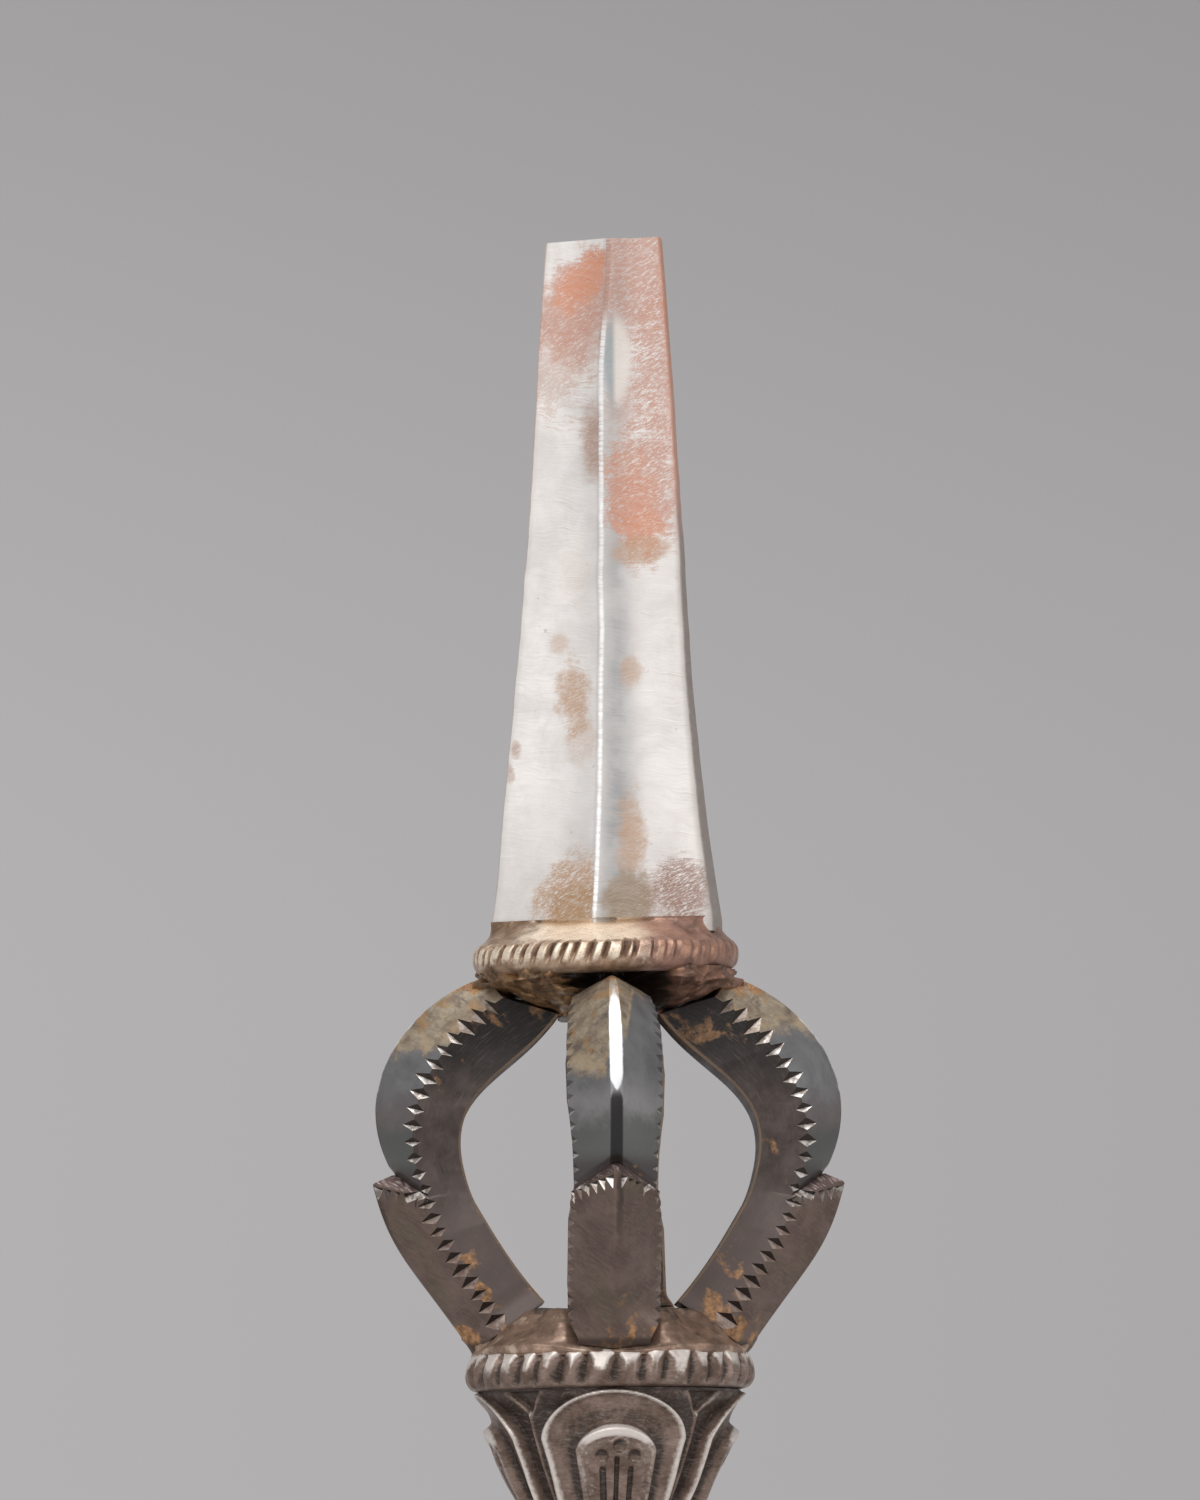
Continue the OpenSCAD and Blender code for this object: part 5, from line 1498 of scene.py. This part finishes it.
def arch_depth(x, z, half_w, foot_half_w, top, arch_h):
    """How far a point lies inside an arch over straight sides that draw in towards the waist."""
    spring = top - arch_h
    sides = mix(foot_half_w, half_w, np.clip(z / spring, 0, 1)) - np.abs(x)
    share = np.hypot(x / half_w, (z - spring) / arch_h) + 1e-6
    steepness = np.hypot(x / half_w ** 2, (z - spring) / arch_h ** 2) + 1e-6 / half_w
    return np.where(z < spring, sides, (1 - share) * share / steepness)


def lotus_relief(x, z, height, corner):
    """How far the carving stands out at x across a petal and z above the waist, and its relief for the
    finish: how worn it is, and where highlights and shade are painted.
    """
    petal = arch_depth(x, z, 7.1, 3.0, height - 0.15, 4.9)
    lobe = arch_depth(x - 0.15, z, 3.95, 1.7, height - 3.1, 3.0)
    panel = arch_depth(x - 0.2, z, 3.15, 1.3, height - 4.75, 2.0)
    inside = ease(petal, -0.12, 0.12)
    crest = mix(0.42, 0.26, ease(z, height - 6, height - 1))
    rim = inside * np.exp(-((petal - crest) / crest) ** 2)
    proud = -0.95 * (1 - inside) + 0.55 * rim
    dish = inside * ease(petal, 0.6, 2.4)
    proud = proud - 0.4 * dish
    slope = mix(0.28, 1.2, ease(z, height - 6.5, height - 3.4))
    on_lobe = ease(lobe, -0.12, slope)
    on_panel = ease(panel, -0.05, 0.12)
    proud = mix(proud, 0.95, on_lobe)
    proud = proud - 0.28 * on_panel
    lip = on_lobe * (1 - on_panel)
    border = on_panel * (1 - ease(panel, 0.55, 0.7))
    high = ease(z, height - 6.0, height - 3.6)
    # painted highlight: the lobe's lip gets lighter towards its top, where it faces up
    relief = 0.8 * rim + (0.45 + 1.3 * high) * lip * ease(on_lobe, 0.1, 0.5) - 0.45 * dish * (1 - on_lobe)
    # darker outside the petals, and painted shade in the dish just beside the lobe's lower sides
    relief = relief - 0.9 * (1 - inside) - 0.5 * np.exp(-((lobe + 0.35) / 0.5) ** 2) * (1 - high)
    relief = relief + 0.35 * border - 0.05 * on_panel
    # painted shade in each dimple's upper part and painted highlight on its lower part, as light from above
    # would fall
    for cx, cz in ((0.45, height - 5.75), (-1.2, height - 6.75), (1.9, height - 6.75)):
        away = np.hypot(x - cx, z - cz)
        cup = 1 - ease(away, 0.45, 0.74)
        edge = np.exp(-((away - 0.8) / 0.12) ** 2)
        proud = proud - 0.34 * cup + 0.05 * edge
        relief = relief + 0.2 * edge - cup * (0.3 + 1.4 * (z - cz) / 0.75)
    for foot_x, top_x, top, half in (
            (-1.4, -1.27, height - 7.7, 0.25),
            (0.06, 0.35, height - 6.7, 0.17),
            (1.8, 1.85, height - 7.7, 0.2)):
        centre = mix(foot_x, top_x, z / height) * mix(0.5, 1.06, z / height)
        groove = (1 - ease(np.abs(x - centre), half * 0.6, half * 1.5)) * (1 - ease(z, top - 0.3, top))
        groove = groove * on_panel
        proud = proud - 0.34 * groove
        relief = relief - 1.5 * groove
    brim = ease(z, height - 2.6, height - 0.4) * (1 - inside)
    proud = proud + 0.8 * brim
    fallen = height - 0.35 - z
    leaf = ease(2.3 - np.abs(corner) * 0.95 - fallen, 0.0, 0.5) * (fallen > 0) * (1 - inside)
    lit_edge = np.exp(-((2.0 - np.abs(corner) * 0.95 - fallen) / 0.42) ** 2) * (fallen > 0) * (1 - inside)
    proud = proud - 0.9 * leaf
    # lit_edge is a painted highlight on the leaves' edges, and the top edge under the ring gets painted
    # shade
    relief = relief + 0.3 * brim - 1.4 * leaf + 1.7 * lit_edge - 1.6 * ease(z, height - 0.3, height - 0.05)
    vein = np.exp(-(corner / 0.22) ** 2) * (1 - inside) * (1 - brim)
    proud = proud + 0.35 * vein
    return proud, relief + 0.9 * vein


def lotus(node, up):
    """Cup of four carved petals that opens upward, or is turned over to open downward."""
    low, high = span(node)
    height = high[2] - low[2]
    rows, around = 152, 636
    z = np.linspace(0, height, rows)[:, None]
    angle = (np.arange(around) * 2 * math.pi / around)[None, :]
    quarter = math.pi / 2
    turn = (angle + quarter - lotus_turn + quarter / 2) % quarter - quarter / 2
    radius = cup_radius(z, height) * np.ones_like(angle)
    x = radius * np.sin(turn)
    corner = radius * (np.abs(turn) - quarter / 2)
    proud, relief = lotus_relief(x, z * np.ones_like(angle), height, corner)
    lump = 0.06 * np.sin(3 * angle + z) + 0.05 * np.sin(5 * angle - 0.7 * z)
    radius = radius + proud + lump * ease(proud, -0.5, 0.3)
    rings = np.stack([radius * np.cos(angle), radius * np.sin(angle), z + z_lotus + 0 * angle], -1)
    caps = [np.column_stack([ring[:, :2] * share, ring[:, 2]])
            for ring, share in ((rings[0], 0.5), (rings[-1], 0.8))]
    points, faces = capped(np.concatenate([caps[:1], rings, caps[1:]]))
    pad = np.zeros(around)
    relief = np.concatenate([pad, relief.ravel(), pad, [0, 0]])
    cup = make_mesh(node + "_carved", points, faces, iron_finish, crease=50, relief=relief)
    if not up:
        flip(cup.data)
    settle(cup, "brown_iron", node)


finial_blade()
blade_collar()
cage_cap()
cage_base()
make_prong("prong_front", 0, 0.0, front_prong_finish, front_drop=0.7, cut=0.6, flat_foot=0.8)
make_prong("prong_right", 90, 0.0, prong_finish)
make_prong("prong_back", 180, -1.5, prong_finish)
make_prong("prong_left", 270, 0.0, prong_finish)
notched_ring("cage_ring", True)
notched_ring("bolster_ring", False)
lotus("upper_lotus", True)
lotus("lower_lotus", False)


# The grip, the bolster and the crescent, which the photo leaves out
def waist_rings(node, up):
    """Sleeve of three beads, the middle one cut into pearls."""
    low, high = span("upper_waist_rings")
    bead = (high[2] - low[2]) / 6
    root = high[0] - bead
    profile = [[0.5, low[2]]]
    for k in range(3):
        profile += [[root + bead * math.cos(a), low[2] + bead * (2 * k + 1) + bead * math.sin(a)]
                    for a in np.linspace(-1.35, 1.35, 14)]
    points, faces = turned(np.array(profile + [[0.5, high[2]]]), around=360)
    rings = make_mesh(node + "_turned", points, faces, collar_finish, crease=60)
    middle = low[2] + 3 * bead
    run_tree(rings, RIM_NOTCHES, crease=60, Count=30.0, Depth=0.3 * MM, Half_Width=0.45,
             Top=(middle + bead) * MM, Foot=(middle - bead) * MM, Fade=0.1 * MM, Taper=0.1 * MM,
             Sharpness=1.2, Uneven=0.15, Seed=5, Metal=collar_finish)
    relief_from_groove(rings, middle, rubbed_and_lit=0.7, dirty_and_shaded=1.1)
    if not up:
        flip(rings.data)
    settle(rings, "brazed_bronze", node)


def grip_knob():
    """Round knob, turned with a pair of fine lines above and below its chiselled band."""
    high = span("grip_knob")[1]
    ball, band = high[0] - 0.6, 1.5
    end = math.asin(high[2] / ball)
    start = math.asin((band + 0.15) / ball)
    upper = [[ball * math.cos(a), ball * math.sin(a)] for a in np.linspace(start, end, 60)]
    for point in upper:
        for line in (4.6, 5.4):
            point[0] -= 0.16 * math.exp(-((point[1] - line) / 0.16) ** 2)
    rim = [[ball + 0.25, band], [ball + 0.5, band - 0.2], [high[0] - 0.02, band - 0.6], [high[0], 0.3]]
    half = rim[::-1] + upper
    profile = [[0.5, -high[2]]] + [[r, -z] for r, z in half[::-1]] + half + [[0.5, high[2]]]
    points, faces = turned(np.array(profile), around=720)
    knob = make_mesh("grip_knob_turned", points, faces, iron_finish, crease=60)
    run_tree(knob, RIM_NOTCHES, crease=60, Count=26.0, Depth=0.7 * MM, Half_Width=0.42, Top=band * MM,
             Foot=-band * MM, Fade=0.3 * MM, Taper=0.5 * MM, Sharpness=1.1, Uneven=0.25, Slant=0.1, Seed=15,
             Metal=iron_finish)
    relief_from_groove(knob, rim_z=0.0, rubbed_and_lit=0.9, dirty_and_shaded=1.3)
    settle(knob, "brown_iron", "grip_knob")


def bolster():
    """Forged bolster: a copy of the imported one, with its edges hammered round."""
    work = bmesh.new()
    work.from_mesh(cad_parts["bolster"].data)
    bmesh.ops.remove_doubles(work, verts=work.verts, dist=1e-6)
    mesh = bpy.data.meshes.new("bolster_forged")
    work.to_mesh(mesh)
    work.free()
    mesh.transform(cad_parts["bolster"].matrix_world)
    piece = bpy.data.objects.new("bolster_forged", mesh)
    bpy.context.scene.collection.objects.link(piece)
    remesh = piece.modifiers.new("even", "REMESH")
    remesh.mode = "VOXEL"
    remesh.voxel_size = 0.26 * MM
    bpy.context.view_layer.update()
    even = bpy.data.meshes.new_from_object(piece.evaluated_get(bpy.context.evaluated_depsgraph_get()))
    piece.modifiers.remove(remesh)
    piece.data = even
    points = points_of(even).astype(float)
    ends = np.zeros(len(even.edges) * 2, int)
    even.edges.foreach_get("vertices", ends)
    ends = ends.reshape(-1, 2)
    shares = np.bincount(ends.ravel(), minlength=len(points))[:, None]
    start = points.copy()
    rounds, pull = 7, 0.6
    for _ in range(rounds):
        total = np.zeros_like(points)
        np.add.at(total, ends[:, 0], points[ends[:, 1]])
        np.add.at(total, ends[:, 1], points[ends[:, 0]])
        points = mix(points, total / shares, pull)
    normals = np.zeros(len(points) * 3, np.float32)
    even.vertices.foreach_get("normal", normals)
    stands_out = ((start - points) * normals.reshape(-1, 3)).sum(1)
    set_points(even, points)
    set_values(even, "relief", 7.0 * stands_out + 0.5 * bumpy(points, 2.0, 4))
    even.materials.clear()
    even.materials.append(iron_finish)
    smooth(even, 60)
    settle(piece, "brown_iron", "bolster")


def bolster_rivets():
    """Two rivets, each hammered to a low dome at both ends."""
    low, high = span("bolster_rivets")
    shank = (high[2] - low[2]) / 2
    half = high[1]
    dome = [[shank, half - 0.75], [shank + 0.3, half - 0.7], [shank + 0.32, half - 0.45],
            [shank, half - 0.22], [shank * 0.6, half - 0.06], [0.06, half]]
    profile = np.array([[r, -z] for r, z in dome[::-1]] + dome)
    points, faces = turned(profile, around=40)
    points[:, :2] *= (1 + 0.06 * bumpy(points, 1.2, 3))[:, None]
    upright = np.column_stack([points[:, 0], points[:, 2], points[:, 1]])
    count = len(points)
    places, sides = [], []
    for x in (low[0] + shank, high[0] - shank):
        sides += [[i + len(places) * count for i in face] for face in faces]
        places.append(upright + [x, 0, (low[2] + high[2]) / 2])
    points = np.concatenate(places)
    relief = ease(np.abs(points[:, 1]), half - 0.5, half) * 1.2 - 0.2
    rivets = make_mesh("bolster_rivets_hammered", points, sides, collar_finish, crease=60, relief=relief)
    settle(rivets, "brazed_bronze", "bolster_rivets")


def crescent_steel():
    """Forged steel of the crescent: dark and stained, with a bright filed bevel and two engraved lines."""
    low = span("crescent_blade")[0]
    edge_r, bevel, back_r, deep = 70.0, 11.0, 72.0, 38.0
    engraved = (2.6, 3.7)
    f = Finish("crescent steel")
    marks = f.group(FILE_MARKS, Place=f.place, Spacing=0.22, Stretch=14.0, Slope=0.15, Waver=1.6)
    strokes = marks["Strokes"]

    def away(centre_z):
        """Distance from a centre on the handle's axis, in the plane of the crescent."""
        flat = f.add("ShaderNodeCombineXYZ", {"X": f.x, "Z": f.minus(f.z, centre_z)}).outputs[0]
        return f.vector("LENGTH", flat).outputs["Value"]

    from_edge = f.minus(edge_r, away(low[2] + edge_r))
    from_back = f.minus(away(low[2] + deep + back_r), back_r)
    body = f.patina(srgb(150, 146, 144), srgb(102, 97, 95), 7.0, 0.7)
    rusty = f.spread(f.noise(f.place, 0.12, 6.0, 0.62), 0.5, 0.64, 0.0, 0.75)
    body = f.blend(rusty, body, srgb(112, 84, 68))
    body = f.blend(f.spread(strokes, 0.5, 0.8, 0.0, 0.4), body, srgb(184, 178, 174))
    filed = f.patina(srgb(216, 213, 211), srgb(186, 183, 181), 5.0, 0.5)
    tarnished = f.spread(f.noise(f.place, 0.16, 5.0, 0.6, 0.5), 0.56, 0.68, 0.0, 0.6)
    filed = f.blend(tarnished, filed, srgb(176, 150, 130))
    waver = f.drift(0.5, 0.25, 2.0)
    inside = f.spread(from_edge, -0.5, -0.1)
    on_bevel = f.times(f.spread(f.plus(from_edge, waver), bevel + 0.12, bevel - 0.12), inside)
    colour = f.blend(on_bevel, body, filed)
    edge_line = f.times(f.spread(from_edge, 0.7, 0.2), inside)
    colour = f.blend(f.times(edge_line, 0.7), colour, srgb(236, 236, 238))
    bevel_line = f.spread(f.math("ABSOLUTE", f.minus(f.plus(from_edge, waver), bevel)), 0.34, 0.1)
    colour = f.blend(f.times(bevel_line, 0.4), colour, srgb(226, 224, 222))
    lines = 0.0
    for out in engraved:
        line = f.spread(f.math("ABSOLUTE", f.minus(f.plus(from_back, waver), out)), 0.26, 0.08)
        lines = f.math("MAXIMUM", lines, line)
    lines = f.times(lines, f.minus(1.0, on_bevel))
    colour = f.blend(f.times(lines, 0.85), colour, srgb(40, 33, 30))
    f.bump(f.minus(1.0, lines), 0.2, 0.8)
    f.bump(strokes, 0.03, 0.6)
    f.bump(f.noise(f.place, 0.5, 4.0), 0.1, f.times(f.minus(1.0, on_bevel), 0.6))
    roughness = f.plus(f.spread(strokes, 0.3, 0.7, 0.32, 0.46), f.times(rusty, 0.2))
    return f.done(colour, roughness, f.spread(on_bevel, 0.0, 1.0, 0.5, 0.35))


def dress(node, finish):
    """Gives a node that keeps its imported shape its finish."""
    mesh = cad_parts[node].data
    mesh.materials.clear()
    mesh.materials.append(finish)


waist_rings("upper_waist_rings", True)
waist_rings("lower_waist_rings", False)
grip_knob()
bolster()
bolster_rivets()
dress("crescent_blade", crescent_steel())
dress("core_rod", prong_finish)


# Stage, light and camera
def studio():
    """World that shows grey paper to the camera and to reflections, and lights the object evenly."""
    world = bpy.data.worlds.new("studio")
    bpy.context.scene.world = world
    world.use_nodes = True
    wires = Wiring(world.node_tree)
    world.node_tree.nodes.clear()
    direction = wires.add("ShaderNodeTexCoord").outputs["Generated"]
    parts = wires.add("ShaderNodeSeparateXYZ", {"Vector": direction}).outputs
    paper_low, paper_high = srgb(175, 173, 174), srgb(153, 151, 152)
    paper = wires.blend(wires.spread(parts["Z"], 0.06, 0.2), paper_low, paper_high)
    fall = 0.07
    sideways = wires.math("MINIMUM", wires.math("MAXIMUM", parts["X"], -fall), fall)
    fall_off = wires.minus(1.0, sideways)
    shown = wires.add("ShaderNodeBackground", {"Color": paper, "Strength": fall_off}).outputs[0]
    soft = wires.add("ShaderNodeBackground", {"Color": (1.0, 0.99, 0.98, 1.0), "Strength": 0.5}).outputs[0]
    rays = wires.add("ShaderNodeLightPath").outputs
    reflected = wires.math("MAXIMUM", rays["Is Glossy Ray"], rays["Is Transmission Ray"])
    seen = wires.math("MAXIMUM", rays["Is Camera Ray"], reflected)
    mixed = wires.add("ShaderNodeMixShader", {0: seen, 1: soft, 2: shown}).outputs[0]
    wires.feed(wires.add("ShaderNodeOutputWorld").inputs["Surface"], mixed)


def softbox(name, place, aim, size, radiance):
    """Area lamp of a size in metres. Its power is four times its radiance by its area."""
    lamp = bpy.data.lights.new(name, "AREA")
    lamp.shape = "RECTANGLE"
    lamp.size, lamp.size_y = size
    lamp.energy = 4 * radiance * size[0] * size[1]
    lamp_object = bpy.data.objects.new(name, lamp)
    lamp_object.location = place
    lamp_object.rotation_euler = (Vector(aim) - Vector(place)).to_track_quat("-Z", "Y").to_euler()
    lamp_object.visible_camera = False
    bpy.context.scene.collection.objects.link(lamp_object)


def floor():
    """Sheet of pale paper under the object. half is in metres."""
    half, steps = 0.9, 24
    line = np.linspace(-half, half, steps) / MM
    x, y = np.meshgrid(line, line)
    z = np.full_like(x, cad_box[0][2] / MM)
    points = np.stack([x, y, z], -1).reshape(-1, 3)
    f = Finish("floor paper", Specular_IOR_Level=0.2)
    paper = f.patina(srgb(206, 204, 204), srgb(200, 198, 198), 60.0, 0.1)
    piece = make_mesh("floor", points, grid_faces(steps, steps, False), f.done(paper, 0.7, 0.0))


def camera():
    """Camera low in front of the knife, looking up at the blade."""
    aside = -0.62 * MM
    place, aim = Vector((aside, -1.1, -0.002)), Vector((aside, 0, 0.0945))
    data = bpy.data.cameras.new("camera")
    data.lens = 265.0
    data.sensor_width = 36
    eye = bpy.data.objects.new("camera", data)
    roll = Quaternion((0, 0, 1), math.radians(-0.35))  # the photographed knife leans a little
    eye.location = place
    eye.rotation_euler = ((aim - place).to_track_quat("-Z", "Y") @ roll).to_euler()
    bpy.context.scene.collection.objects.link(eye)
    bpy.context.scene.camera = eye


cage_middle = (0, 0, 0.05)
studio()
softbox("key softbox", (-0.33, -0.92, 0.66), cage_middle, size=(1.1, 1.1), radiance=1.5)
softbox("fill softbox", (0.86, -0.5, 0.25), cage_middle, size=(0.6, 0.9), radiance=1.05)
softbox("top softbox", (0.0, -0.15, 1.05), cage_middle, size=(0.9, 0.8), radiance=2.0)
floor()
camera()
bpy.context.scene.view_settings.view_transform = "Standard"
